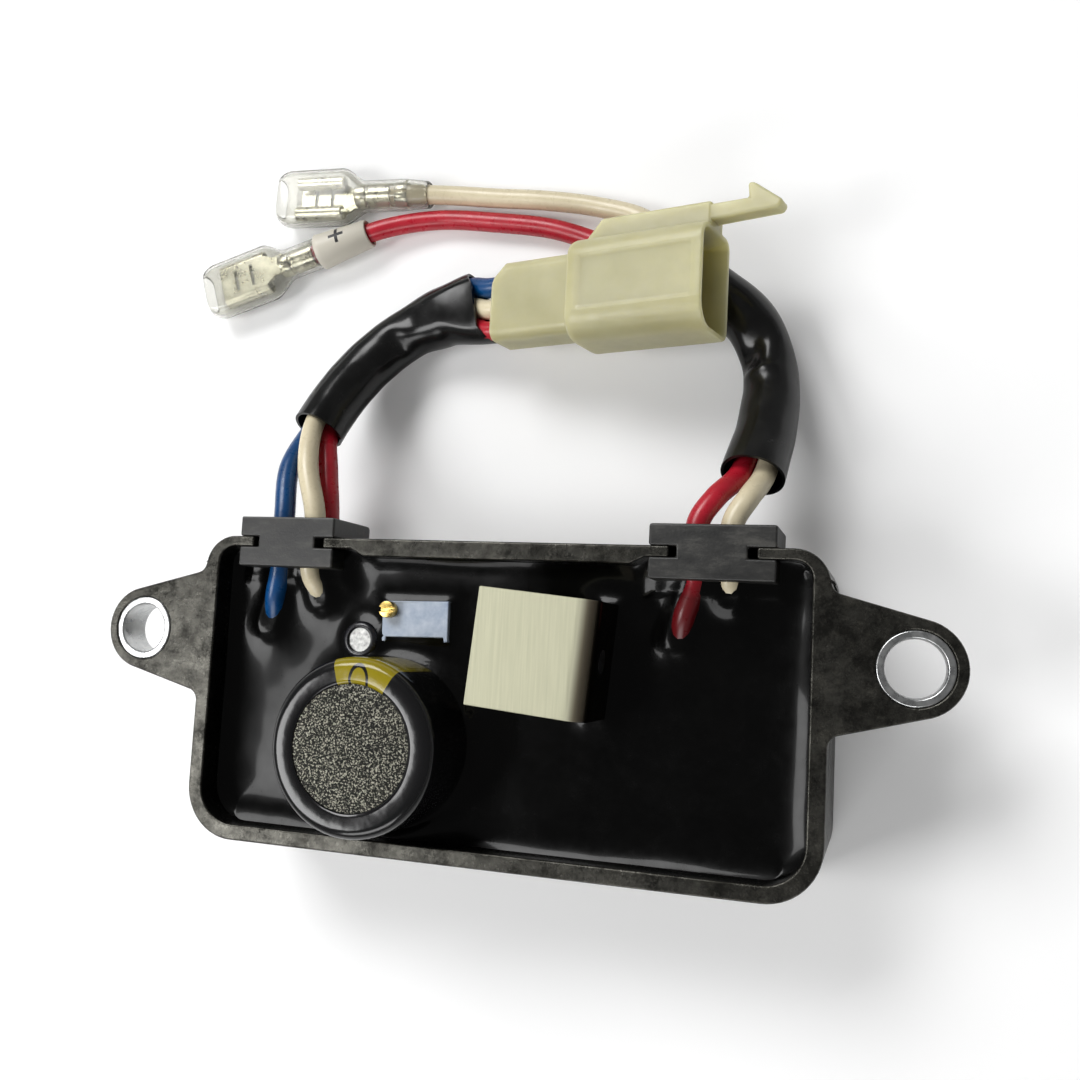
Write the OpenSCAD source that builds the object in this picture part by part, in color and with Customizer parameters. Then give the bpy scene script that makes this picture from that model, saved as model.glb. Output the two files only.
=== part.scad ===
// Automatic voltage regulator for a portable generator: a potted circuit in a moulded tray with two
// fixing ears, a three-wire lead to a latched plug and a two-wire lead to insulated spade terminals.
// The tray lies on its closed back, with the filled side up and the leads towards +Y. Millimetres.
// Pieces are laid out from the middle of the tray's length and the outer face of its back wall.

/* [Tray] */
// Distance between the centres of the two fixing holes
hole_pitch = 103; // [100:0.5:120]
// Outer length of the tray between its end walls
tray_length = 84.2; // [83:0.1:88]
// Outer depth of the tray from the front wall to the back wall
tray_depth = 41; // [40.7:0.1:50]
// Height of the tray from its closed back to its rim
tray_height = 20; // [19:0.1:23]
// Thickness of the end walls and of the front wall
wall = 2.1; // [1.5:0.1:2.4]
// Thickness of the back wall beside the cable notches
notch_wall = 1.4; // [1:0.1:2]
// Extra thickness of the back wall between the cable notches
back_pad = 0.95; // [0.4:0.05:1.6]
// Length of that thicker part of the back wall
back_pad_length = 40; // [30:1:42]
// Thickness of the closed back
floor_thickness = 2; // [1.5:0.1:2.6]
// Radius of the tray's front corners
front_corner_r = 7; // [4:0.1:9]
// Radius of the tray's back corners
back_corner_r = 4.3; // [3:0.1:5]
// Distance from the outer face of the back wall to the line of the fixing holes
ear_setback = 13.3; // [12:0.1:20]
// Radius of the end of each ear
ear_r = 5.7; // [5.2:0.1:8]
// Angle at which each side of an ear widens towards the tray
ear_taper = 15; // [5:1:25]
// Radius that blends an ear into the end wall
ear_fillet = 1.6; // [0.8:0.1:3]
// Thickness of the ears
ear_thickness = 5; // [3:0.1:8]
// Outer diameter of the metal bushing in each ear
bushing_d = 8.7; // [8:0.1:9.8]
// Bore of the bushing, for an M6 screw
bushing_bore = 6.8; // [6.2:0.1:7.4]

/* [Cable grommets] */
// Distance from the left inner wall to the middle of the left notch
left_notch_inset = 10.5; // [9:0.1:12]
// Distance from the right inner wall to the middle of the right notch
right_notch_inset = 11.8; // [9:0.1:13]
// Width of each notch in the back wall
notch_width = 10.6; // [9.8:0.1:12]
// Depth of each notch below the rim
notch_depth = 8.6; // [8.2:0.1:9.4]
// Width of the grommet's neck in the notch
neck_width = 8.6; // [8.2:0.1:9.6]
// Width of the left grommet's flanges
left_flange_width = 14.4; // [13:0.1:16]
// Width of the right grommet's flanges
right_flange_width = 15.5; // [13:0.1:17]
// Depth of the flanges below the rim
flange_depth = 12; // [11:0.1:13]
// Thickness of each flange
flange_thickness = 2.7; // [1.5:0.1:3.5]
// Radius of the flanges' lower corners
flange_r = 2; // [0.5:0.1:3]

/* [Circuit] */
// Gap between the circuit board and the walls
board_margin = 2; // [1:0.1:3]
// Thickness of the circuit board
board_thickness = 1.6; // [1:0.1:2]
// Height of the standoffs under the board
standoff_height = 2.4; // [1.5:0.1:3]
// Diameter of the standoffs
standoff_d = 5; // [3:0.1:7]
// Depth of the potting's surface below the rim
potting_recess = 4.8; // [4:0.1:5.4]
// Height to which the potting climbs the sides of the capacitors
meniscus = 1.4; // [0.5:0.1:2]
// Diameter of the main capacitor over its sleeve
capacitor_d = 22.4; // [18:0.1:22.8]
// Height of the main capacitor above the board
capacitor_height = 21.5; // [15:0.1:30]
// Place of the main capacitor along the tray
capacitor_x = -14.4; // [-15.5:0.1:-13.5]
// Gap between the main capacitor and the front wall
capacitor_gap = 1; // [0.3:0.05:1.2]
// Thickness of the capacitors' plastic sleeves
sleeve_film = 0.25; // [0.15:0.05:0.4]
// Radius of the bare disc on the main capacitor's top
capacitor_disc_r = 7.85; // [5:0.05:8.5]
// Radius of the main capacitor's top edge
capacitor_edge_r = 1.4; // [0.6:0.1:2.2]
// Diameter of the small capacitor over its sleeve
small_capacitor_d = 5; // [4:0.1:5.4]
// Height of the small capacitor above the board
small_capacitor_height = 11; // [10:0.1:14]
// Radius of the bare disc on the small capacitor's top
small_disc_r = 1.6; // [1:0.1:1.8]
// Length of the trimmer
trimmer_length = 9.53; // [8:0.01:9.8]
// Width of the trimmer
trimmer_width = 4.83; // [4:0.01:6]
// Height of the trimmer above the board
trimmer_height = 10.4; // [9.8:0.1:13]
// Diameter of the adjusting screw's head
adjuster_d = 2.2; // [1.8:0.05:2.4]
// Height of the adjusting screw's head
adjuster_head = 1.4; // [0.8:0.05:2]
// Width of the screwdriver slot in the adjusting screw
adjuster_slot = 0.6; // [0.4:0.05:0.7]
// Length of the heat sink's top plate
sink_length = 15.2; // [13:0.1:17]
// Width of the heat sink
sink_width = 14.5; // [12:0.1:17]
// Height of the heat sink above the board
sink_height = 20; // [19:0.1:26]
// Thickness of the heat sink's sheet
sink_sheet = 2; // [1.5:0.1:2.5]
// Inner radius of the heat sink's bend
sink_bend_r = 0.8; // [0.4:0.1:1.5]
// Angle at which the heat sink stands askew
sink_askew = -4.8; // [-8:0.1:0]

/* [Leads] */
// Diameter of each wire over its insulation
wire_d = 2.9; // [2.4:0.1:2.9]
// Wall of the black sleeves round the leads
lead_sleeve_wall = 0.4; // [0.3:0.05:0.6]
// Room between the wires and the sleeves
lead_sleeve_room = 0.25; // [0.15:0.05:0.4]
// Length of the plug's rear body
plug_rear_length = 12.7; // [11:0.1:15]
// Width of the plug's rear body
plug_rear_width = 11.2; // [10.4:0.1:12]
// Thickness of the plug's rear body
plug_rear_thickness = 6.8; // [5:0.1:8]
// Length of the plug's open shroud
shroud_length = 19.4; // [17:0.1:26]
// Width of the shroud
shroud_width = 14; // [12.4:0.1:15]
// Thickness of the shroud
shroud_thickness = 10; // [8:0.1:10.2]
// Wall of the shroud
shroud_wall = 1.3; // [0.8:0.1:1.6]
// Length of the latch arm beyond the shroud
latch_reach = 9.2; // [6:0.1:14]
// Distance between neighbouring contacts in the plug
contact_pitch = 3.2; // [3.1:0.05:3.4]
// Width of a spade terminal over its curled edges
spade_width = 7; // [6.4:0.1:7.4]
// Length of the spade terminal's receptacle
spade_length = 8; // [6:0.1:9]
// Length of a terminal's clear boot
boot_length = 20.5; // [20:0.1:26]
// Wall of the clear boots
boot_wall = 0.5; // [0.4:0.05:0.6]
// Length of the white marker tube on the red wire
marker_length = 9.6; // [6:0.1:12]

/* [Hidden] */
$fn = 64;
// Overlap that carries a cut past the face it opens
past = 1;

// Tray, seen from above
cavity_half = tray_length / 2 - wall;
cavity_front = -tray_depth + wall;
cavity_back = -notch_wall;
cavity_depth = cavity_back - cavity_front;
hole_x = hole_pitch / 2;
left_notch_x = -cavity_half + left_notch_inset;
right_notch_x = cavity_half - right_notch_inset;
// The outer flanges' lower edge is round over most of its thickness
flange_edge_r = 0.8 * flange_thickness;
// The round edge meets the flange's underside at a slight corner
flange_edge_dip = 0.15;
// The grommets sit a little to the left in their notches
left_grommet_x = left_notch_x - 0.3;
right_grommet_x = right_notch_x - 0.1;
// Puts the origin under the middle of the part without its leads
origin_y = (tray_depth - flange_thickness) / 2;

// Heights of the filled circuit
board_top = floor_thickness + standoff_height + board_thickness;
potting_top = tray_height - potting_recess;
board_half = cavity_half - board_margin;
board_depth = cavity_depth - back_pad - 2 * board_margin;
board_mid = cavity_front + board_margin + board_depth / 2;

// Places of the parts on the board
capacitor_y = cavity_front + capacitor_gap + capacitor_d / 2;
capacitor_place = [capacitor_x, capacitor_y];
// The small capacitor stands beside the main one, at this bearing from it
component_gap = 0.475;
small_bearing = 110.22;
small_reach = capacitor_d / 2 + small_capacitor_d / 2 + component_gap;
small_capacitor_place = capacitor_place + small_reach * [cos(small_bearing), sin(small_bearing)];
trimmer_shift = 2.8;
trimmer_gap = 2.785;
trimmer_place = capacitor_place + [trimmer_shift, capacitor_d / 2 + trimmer_gap + trimmer_width / 2];
trimmer_askew = 1.5;
small_edge_r = 0.6;
adjuster_inset = 1.2;
adjuster_shank_r = 0.8;
adjuster_shank_length = 7;
running_gap = 0.05;
end_gap = 0.1;
sink_place = [7.9, cavity_back - 12.5];
sink_leg = sink_length / 2 - sink_sheet;
transistor_width = 10;
transistor_body_height = 9.2;
transistor_tab_height = 6.3;
transistor_tab = 1.3;
transistor_body = 4.5;
transistor_lead = 2.2;
transistor_hole_drop = 2.8;
transistor_hole_z = transistor_lead + transistor_body_height + transistor_tab_height - transistor_hole_drop;
transistor_screw_r = 1.5;
screw_head_r = 2.7;
screw_head_height = 1.6;
diode_r = 2.6;
diode_length = 9;
diode_span = 13;
diode_lead_r = 0.6;
diode_edge = 0.6;
diode_pitch = 6;
diode_count = 4;
resistor_r = 1.2;
resistor_length = 6.4;
resistor_span = 10;
resistor_lead_r = 0.35;
resistor_edge = 1;
resistor_stand = 0.5;
resistor_pitch = 3.6;
resistor_count = 5;
chip_place = [5.5, cavity_front + 9.5];

// Wire holes in the grommets: place along the tray and drop below the rim
wire_r = wire_d / 2;
left_holes = [[-32.2, 3.2], [-27.4, 3.2], [-27.2, 6.8]];
right_holes = [[25.7, 3.8], [30, 3.8]];

// Routes of the wires from the board to the start of their sleeve
left_blue_start = [[-34, -15, 6], [-34, -15, 9], [-33.9, -12.4, 13.4], [-33, -8.2, 16.2],
    [-32.2, -4.5, 16.8], [-32.2, 3.2, 16.8], [-33.4, 10.5, 14.4]];
left_white_start = [[-25.4, -10.4, 6], [-25.4, -10.4, 9], [-25.8, -8.8, 12.8], [-26.8, -6.4, 15.8],
    [-27.4, -4.5, 16.8], [-27.4, 3.2, 16.8], [-29.8, 10.5, 15.6]];
left_red_start = [[-28.8, -10.4, 6], [-28.8, -10.4, 7], [-28.7, -9, 8.8], [-28.1, -6.8, 11.4],
    [-27.2, -4.5, 13.2], [-27.2, 3.2, 13.2], [-28.6, 10.5, 12]];
right_red_start = [[23.6, -15, 6], [23.6, -15, 9], [23.6, -13, 13], [24.4, -8.6, 16],
    [25.7, -4.5, 16.2], [25.7, 3.2, 16.2], [27.6, 6.6, 15.2]];
right_white_start = [[29.4, -9.6, 6], [29.4, -9.6, 8.6], [29.5, -8.4, 11.8], [29.8, -6.4, 14.6],
    [30, -4.5, 16.2], [30, 3.2, 16.2], [31.7, 6.6, 15.2]];
// Middle lines of the two sleeves, with the spread of the three wires from side to side
left_bundle = [[-31.2, 16.6, 11, 1.5], [-29.6, 22, 8.2, 1.5], [-26.2, 28, 5.4, 1.5],
    [-20.6, 32.6, 4.4, 1.7], [-15, 34.6, 5, 2.4], [-10, 35.4, 6.2, 3.05]];
right_bundle = [[31.7, 9.8, 12.4], [32.8, 17, 8], [32.7, 24.6, 4.8], [30.2, 31.6, 4.2], [25, 36.6, 4.1],
    [19.5, 40.2, 4.1]];
// Routes of the two wires from the end of their sleeve to the terminals
right_red_end = [[14, 42.2, 3.2], [8, 45.4, 1.8], [0, 48.4, 1.6], [-9, 50, 1.6], [-18, 51, 1.7],
    [-24.5, 50.4, 2.4]];
right_white_end = [[14.4, 48.2, 2.6], [7, 51.2, 1.6], [-1, 52.8, 1.6], [-9, 53.8, 1.6], [-16, 54.6, 2]];
// Side steps of the two wires in the right sleeve
right_red_side = 1.55;
right_white_side = -1.4;

// Plug: its rear end, its tilt where it leans on the other lead, and its pieces
plug_place = [-5, 34.7, 7.7];
plug_tilt = 12;
plug_rear_r = 1.5;
plug_shoulder = 1.2;
plug_rear_bevel = 2;
shroud_r = 2.6;
shroud_end = plug_rear_length + shroud_length;
partition = 4;
partition_start = plug_rear_length - 1.5;
contact_hole_r = 1.5;
contact_seat = 5;
blade_width = 2.3;
blade_thickness = 0.64;
blade_setback = 6;
latch_width = 4.5;
latch_rail = 3;
latch_arm = 2.2;
latch_hook = 1.9;
latch_hook_length = 4.5;
latch_rise = 2.5;
latch_step = 0.35;

// Spade terminals: where each wire enters, and the way each one points
red_terminal_place = [-38.5, 46.4, 3];
red_terminal_turn = 197;
red_terminal_roll = 180;
white_terminal_place = [-25.7, 55, 3];
white_terminal_turn = 178;
white_terminal_roll = 0;
crimp_r = 1.75;
crimp_length = 6;
crimp_seat = 3;
spade_start = 8.5;
spade_sheet = 0.4;
spade_curl_r = 1.1;
spade_drop = 1.2;
spade_neck = 3;
shoulder_slope = 1.6;
// Cross cuts that free a spring tongue in the receptacle's flat
tongue_cuts = [2.2, 5];
tongue_cut = 0.5;
tongue_width = 3.4;
boot_neck_r = 2.4;
boot_neck_end = -1.5;
boot_taper_start = 5.5;
boot_taper_end = 8;
boot_height_room = 0.4;
marker_over_boot = 2.5;
marker_big_r = 2.8;
marker_small_r = 2.2;
marker_bore_r = 1.5;

// Points and directions

function unit(v) = v / norm(v);
// Direction of a route at one of its points
function heading(route, i) = unit(route[min(i + 1, len(route) - 1)] - route[max(i - 1, 0)]);
// Side vectors along a route, each turned as little as possible from the one before
function sides(route) = [
    for (i = 0, s = square_to([0.6, 0.7, 0.4], heading(route, 0)); i < len(route);
        i = i + 1, s = square_to(s, heading(route, min(i, len(route) - 1)))) s
];
function square_to(s, along) = unit(s - (s * along) * along);
// Horizontal vector to the left of a route at one of its points
function left_of(route, i) = let (t = heading(route, i)) unit([-t[1], t[0], 0]);
function above(route, i) = cross(heading(route, i), left_of(route, i));
function points_of(bundle) = [for (p = bundle) [p[0], p[1], p[2]]];
// Lift of the middle wire that keeps it beside its neighbours when they stand closer together
function stack(spread) = let (pitch = wire_d + running_gap) sqrt(max(pitch * pitch - spread * spread, 0));
// Course of one wire of the three-wire bundle: side is 1, 0 or -1
function left_lay(side) = let (line = points_of(left_bundle)) [
    for (i = [0 : len(line) - 1]) let (spread = left_bundle[i][3], lift = stack(spread))
        line[i] + side * spread * left_of(line, i) + (side == 0 ? lift * 2 / 3 : -lift / 3) * above(line, i)
];
function right_lay(side) = [
    for (i = [0 : len(right_bundle) - 1]) right_bundle[i] + side * left_of(right_bundle, i)
];
// Place in the plug: along it, across it and above its middle
function in_plug(p) = plug_place + [
    p[0] * cos(plug_tilt) - p[2] * sin(plug_tilt), p[1], p[0] * sin(plug_tilt) + p[2] * cos(plug_tilt)];
function plug_entry(row) = [for (along = [-2.5, 1, contact_seat]) in_plug([along, row * contact_pitch, 0])];
// Place on a terminal's middle line
function on_terminal(place, turn, along) = place + along * [cos(turn), sin(turn), 0];

// General shapes

// Rectangle with round corners, around the origin
module round_rectangle(length, width, r) {
    square([length - 2 * r, width], center = true);
    square([length, width - 2 * r], center = true);
    for (x = [-1, 1], y = [-1, 1])
        translate([x * (length / 2 - r), y * (width / 2 - r)]) circle(r);
}

// Cylinder along +X
module rod(r, length) {
    rotate([0, 90, 0]) cylinder(r = r, h = length);
}

// Outline in the plane across +X, stretched along +X
module along_x(length) {
    rotate([90, 0, 90]) linear_extrude(length) children();
}

// Round tube along a route, as a chain of straight lengths with eight sides
module wire(route) {
    corners = 8;
    side = sides(route);
    rings = [
        for (i = [0 : len(route) - 1]) let (across = cross(heading(route, i), side[i]))
            for (k = [0 : corners - 1]) let (a = (k + 0.5) * 360 / corners)
                route[i] + wire_r * (cos(a) * side[i] + sin(a) * across)
    ];
    walls = [
        for (i = [0 : len(route) - 2], k = [0 : corners - 1]) let (n = (k + 1) % corners, b = i * corners)
            [b + k, b + corners + k, b + corners + n, b + n]
    ];
    start = [for (k = [0 : corners - 1]) k];
    end = [for (k = [corners - 1 : -1 : 0]) (len(route) - 1) * corners + k];
    polyhedron(rings, concat(walls, [start, end]), convexity = 10);
}

// Hollow sleeve along a route. Each ring is a slot of the given half length with round ends.
module lead_sleeve(line, slot, inner_r) {
    corners = 12;
    count = len(line);
    function ring(i, r) = let (left = left_of(line, i), up = above(line, i)) [
        for (k = [0 : corners - 1]) let (a = (k + 0.5) * 360 / corners)
            line[i] + (r * cos(a) + slot[i] * sign(cos(a))) * left + r * sin(a) * up
    ];
    outside = [for (i = [0 : count - 1]) each ring(i, inner_r[i] + lead_sleeve_wall)];
    inside = [for (i = [0 : count - 1]) each ring(i, inner_r[i])];
    size = count * corners;
    walls = [
        for (i = [0 : count - 2], k = [0 : corners - 1]) let (n = (k + 1) % corners, b = i * corners)
            each [[b + k, b + corners + k, b + corners + n, b + n],
                [size + b + n, size + b + corners + n, size + b + corners + k, size + b + k]]
    ];
    tail = size - corners;
    rims = [
        for (k = [0 : corners - 1]) let (n = (k + 1) % corners)
            each [[k, n, size + n, size + k], [tail + n, tail + k, size + tail + k, size + tail + n]]
    ];
    faces = [for (q = concat(walls, rims)) each [[q[0], q[1], q[2]], [q[0], q[2], q[3]]]];
    polyhedron(concat(outside, inside), faces, convexity = 10);
}

// Tray

// Outline of the tray or of its inside, rounder at the front than at the back
module tray_outline(half, front, back, front_r, back_r) {
    translate([-half + front_r, front]) square([2 * (half - front_r), front_r + past]);
    translate([-half, front + front_r]) square([2 * half, back - back_r - front - front_r]);
    translate([-half + back_r, back - back_r - past]) square([2 * (half - back_r), back_r + past]);
    for (x = [-1, 1]) {
        translate([x * (half - front_r), front + front_r]) circle(front_r);
        translate([x * (half - back_r), back - back_r]) circle(back_r);
    }
}

// Space inside the tray, from its closed back up to a height
module cavity(top) {
    difference() {
        translate([0, 0, floor_thickness]) linear_extrude(top - floor_thickness)
            tray_outline(cavity_half, cavity_front, cavity_back, front_corner_r - wall, back_corner_r - wall);
        translate([0, 0, -past]) linear_extrude(top + 2 * past) back_pad_outline();
    }
}

// Thicker middle of the back wall, with sloping ends
module back_pad_outline() {
    half = back_pad_length / 2;
    face = cavity_back - back_pad;
    polygon([[-half, cavity_back + past], [-half, cavity_back], [-half + 2 * back_pad, face],
        [half - 2 * back_pad, face], [half, cavity_back], [half, cavity_back + past]]);
}

// Outline of the ear on one side: a round end that widens towards the wall and blends into it
module ear_outline(side) {
    wall_x = tray_length / 2;
    // The straight sides end just inside the round end, and the blends just inside the sides
    tuck = 0.01;
    reach = ear_r - tuck;
    touch = [hole_x + reach * sin(ear_taper), reach * cos(ear_taper)];
    root = touch[1] + (touch[0] - wall_x) * tan(ear_taper);
    slope = [sin(ear_taper), cos(ear_taper)];
    blend_y = touch[1] + (ear_fillet - (wall_x + ear_fillet - touch[0]) * slope[0]) / slope[1];
    blend = [wall_x + ear_fillet, blend_y];
    foot = blend - ear_fillet * slope;
    scale([side, 1]) {
        translate([hole_x, 0]) circle(ear_r);
        polygon([[wall_x - past, -root], [wall_x, -root], [touch[0], -touch[1]], touch, [wall_x, root],
            [wall_x - past, root]]);
        for (y = [-1, 1]) scale([1, y]) difference() {
            polygon([[wall_x - past, blend_y], blend, foot, [wall_x, root - past],
                [wall_x - past, root - past]]);
            translate(blend) circle(ear_fillet + tuck);
        }
    }
}

module notch(x) {
    translate([x - notch_width / 2, -notch_wall - past, tray_height - notch_depth])
        cube([notch_width, notch_wall + 2 * past, notch_depth + past]);
}

module standoffs() {
    reach = [board_half - standoff_d / 2, board_depth / 2 - standoff_d / 2];
    for (x = [-1, 1], y = [-1, 1])
        translate([x * reach[0], board_mid + y * reach[1], floor_thickness])
            cylinder(d = standoff_d, h = standoff_height);
}

module tray() {
    color([0.13, 0.13, 0.13]) {
        difference() {
            union() {
                linear_extrude(tray_height)
                    tray_outline(tray_length / 2, -tray_depth, 0, front_corner_r, back_corner_r);
                for (side = [-1, 1])
                    translate([0, -ear_setback, tray_height - ear_thickness])
                        linear_extrude(ear_thickness) ear_outline(side);
            }
            cavity(tray_height + past);
            notch(left_notch_x);
            notch(right_notch_x);
            for (side = [-1, 1])
                translate([side * hole_x, -ear_setback, tray_height - ear_thickness - past])
                    cylinder(d = bushing_d, h = ear_thickness + 2 * past);
        }
        standoffs();
    }
}

module bushing(side) {
    color([0.8, 0.8, 0.78])
        translate([side * hole_x, -ear_setback, tray_height - ear_thickness]) difference() {
            cylinder(d = bushing_d, h = ear_thickness);
            translate([0, 0, -past]) cylinder(d = bushing_bore, h = ear_thickness + 2 * past);
        }
}

module left_bushing() bushing(-1);
module right_bushing() bushing(1);

// Cable grommets

// Flange seen from the back: square at the rim and round below
module flange_outline(width) {
    translate([-width / 2, -flange_depth + flange_r]) square([width, flange_depth - flange_r]);
    translate([-width / 2 + flange_r, -flange_depth]) square([width - 2 * flange_r, flange_depth]);
    for (x = [-1, 1]) translate([x * (width / 2 - flange_r), -flange_depth + flange_r]) circle(flange_r);
}

// Outer flange seen from its end: round along the lower edge that faces away from the wall
module flange_side() {
    below = flange_depth + flange_edge_dip;
    outer = flange_thickness - flange_edge_r;
    corner = flange_edge_r - below;
    translate([-past, -below]) square([outer + past, below + past]);
    translate([outer - past, corner]) square([flange_edge_r + past, past - corner]);
    translate([outer, corner]) circle(flange_edge_r);
}

// Slab across the wall, from one Y to another
module across_wall(from, to) {
    translate([0, to, tray_height]) rotate([90, 0, 0]) linear_extrude(to - from) children();
}

// Two flanges and the neck between them
module grommet_form(x, width) {
    intersection() {
        across_wall(0, flange_thickness + past) translate([x, 0]) flange_outline(width);
        translate([x - width, 0, tray_height]) rotate([90, 0, 90]) linear_extrude(2 * width) flange_side();
    }
    across_wall(-notch_wall, 0)
        translate([x - neck_width / 2, -notch_depth]) square([neck_width, notch_depth]);
    across_wall(-notch_wall - flange_thickness, -notch_wall) translate([x, 0]) flange_outline(width);
}

module grommet_holes(holes) {
    for (hole = holes)
        across_wall(-notch_wall - flange_thickness - past, flange_thickness + past)
            translate([hole[0], -hole[1]]) circle(d = wire_d);
}

module left_grommet() {
    color([0.2, 0.2, 0.2]) difference() {
        grommet_form(left_grommet_x, left_flange_width);
        grommet_holes(left_holes);
    }
}

module right_grommet() {
    color([0.2, 0.2, 0.2]) difference() {
        grommet_form(right_grommet_x, right_flange_width);
        grommet_holes(right_holes);
    }
}

// Circuit board and the parts on it

module on_board(place) translate([place[0], place[1], board_top]) children();

module circuit_board() {
    color([0.2, 0.35, 0.2])
        translate([-board_half, board_mid - board_depth / 2, board_top - board_thickness])
            cube([2 * board_half, board_depth, board_thickness]);
}

// Half section of a can with a round top edge
module can_section(r, height, edge_r) {
    square([r - edge_r, height]);
    square([r, height - edge_r]);
    translate([r - edge_r, height - edge_r]) intersection() {
        circle(edge_r);
        square(edge_r);
    }
}

module can(r, height, edge_r) {
    rotate_extrude() can_section(r, height, edge_r);
}

// Shrunk film over a can, turned in over the top round a bare disc
module film(r, height, edge_r, disc_r) {
    rotate_extrude() difference() {
        can_section(r, height, edge_r);
        can_section(r - sleeve_film, height - sleeve_film, edge_r - sleeve_film);
        square([disc_r, height + past]);
    }
}

module main_capacitor() {
    color([0.62, 0.62, 0.6]) on_board(capacitor_place)
        can(capacitor_d / 2 - sleeve_film, capacitor_height - sleeve_film, capacitor_edge_r - sleeve_film);
}

module main_capacitor_sleeve() {
    color([0.1, 0.1, 0.1]) on_board(capacitor_place)
        film(capacitor_d / 2, capacitor_height, capacitor_edge_r, capacitor_disc_r);
}

module small_capacitor() {
    color([0.85, 0.85, 0.84]) on_board(small_capacitor_place)
        can(small_capacitor_d / 2 - sleeve_film, small_capacitor_height - sleeve_film,
            small_edge_r - sleeve_film);
}

module small_capacitor_sleeve() {
    color([0.12, 0.12, 0.14]) on_board(small_capacitor_place)
        film(small_capacitor_d / 2, small_capacitor_height, small_edge_r, small_disc_r);
}

// Trimmer with its adjusting screw near one corner of the top
module at_trimmer() {
    on_board(trimmer_place) rotate([0, 0, trimmer_askew]) children();
}

module at_adjuster() {
    at_trimmer()
        translate([-trimmer_length / 2 + adjuster_inset, trimmer_width / 2 - adjuster_inset, trimmer_height])
            children();
}

// Block with a rib down each corner of one long side
module trimmer_block() {
    rib = 0.6;
    at_trimmer() {
        translate([-trimmer_length / 2, -trimmer_width / 2, 0])
            cube([trimmer_length, trimmer_width, trimmer_height]);
        for (x = [-trimmer_length / 2, trimmer_length / 2 - rib])
            translate([x, -trimmer_width / 2 - rib, 0]) cube([rib, rib + past, trimmer_height]);
    }
}

// Space over the block, open to the rim for a screwdriver
module trimmer_access() {
    at_trimmer() translate([-trimmer_length / 2, -trimmer_width / 2, trimmer_height - past])
        cube([trimmer_length, trimmer_width, tray_height]);
}

module trimmer_body() {
    color([0.75, 0.8, 0.88]) difference() {
        trimmer_block();
        at_adjuster() translate([0, 0, -adjuster_shank_length - end_gap])
            cylinder(r = adjuster_shank_r + running_gap, h = adjuster_shank_length + end_gap + past);
    }
}

module trimmer_screw() {
    slot_depth = 0.6;
    color([0.85, 0.68, 0.3]) at_adjuster() difference() {
        union() {
            translate([0, 0, end_gap]) cylinder(d = adjuster_d, h = adjuster_head);
            translate([0, 0, -adjuster_shank_length])
                cylinder(r = adjuster_shank_r, h = adjuster_shank_length + end_gap + adjuster_head / 4);
        }
        translate([-adjuster_d, -adjuster_slot / 2, end_gap + adjuster_head - slot_depth])
            cube([2 * adjuster_d, adjuster_slot, slot_depth + past]);
    }
}

// Heat sink: a sheet bent down at one end, with the power transistor screwed to its leg
module at_sink() {
    on_board(sink_place) rotate([0, 0, sink_askew]) children();
}

module sink_outline() {
    bend = sink_bend_r + sink_sheet;
    corner = [sink_length / 2 - bend, sink_height - bend];
    translate([-sink_length / 2, sink_height - sink_sheet]) square([sink_length - bend, sink_sheet]);
    translate([sink_leg, 0]) square([sink_sheet, sink_height - bend]);
    translate(corner) difference() {
        circle(bend);
        circle(sink_bend_r);
        translate([-bend - past, -bend - past]) square([bend + past, 2 * (bend + past)]);
        translate([-past, -bend - past]) square([bend + 2 * past, bend + past]);
    }
}

module heat_sink() {
    color([0.82, 0.82, 0.78]) at_sink() difference() {
        translate([0, sink_width / 2, 0]) rotate([90, 0, 0]) linear_extrude(sink_width) sink_outline();
        translate([sink_leg - past, 0, transistor_hole_z]) rod(transistor_screw_r, sink_sheet + 2 * past);
    }
}

module power_transistor() {
    lead_pitch = 2.54;
    lead = 0.8;
    color([0.15, 0.15, 0.16]) at_sink() difference() {
        union() {
            translate([sink_leg - transistor_tab, -transistor_width / 2, transistor_lead])
                cube([transistor_tab, transistor_width, transistor_body_height + transistor_tab_height]);
            translate([sink_leg - transistor_body, -transistor_width / 2, transistor_lead])
                cube([transistor_body, transistor_width, transistor_body_height]);
            for (i = [-1 : 1])
                translate([sink_leg - transistor_body / 2, i * lead_pitch - lead / 2, 0])
                    cube([lead / 2, lead, transistor_lead + past]);
        }
        translate([sink_leg - transistor_body, 0, transistor_hole_z])
            rod(transistor_screw_r, transistor_body + past);
    }
}

module transistor_screw() {
    slot = 0.8;
    seat = [sink_leg - transistor_tab, 0, transistor_hole_z];
    color([0.75, 0.75, 0.75]) at_sink() translate(seat) difference() {
        union() {
            translate([-screw_head_height, 0, 0])
                rod(transistor_screw_r, screw_head_height + transistor_tab + sink_sheet);
            translate([-screw_head_height, 0, 0]) rod(screw_head_r, screw_head_height);
        }
        translate([-screw_head_height - past, -screw_head_r, -slot / 2])
            cube([past + screw_head_height / 2, 2 * screw_head_r, slot]);
    }
}

// Round part lying on two bent leads, along Y
module axial_part(r, length, span, height, lead_r) {
    translate([0, -length / 2, height]) rotate([-90, 0, 0]) cylinder(r = r, h = length);
    translate([0, -span / 2, height]) rotate([-90, 0, 0]) cylinder(r = lead_r, h = span);
    for (y = [-1, 1]) translate([0, y * span / 2, 0]) {
        cylinder(r = lead_r, h = height);
        translate([0, 0, height]) sphere(lead_r);
    }
}

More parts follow.
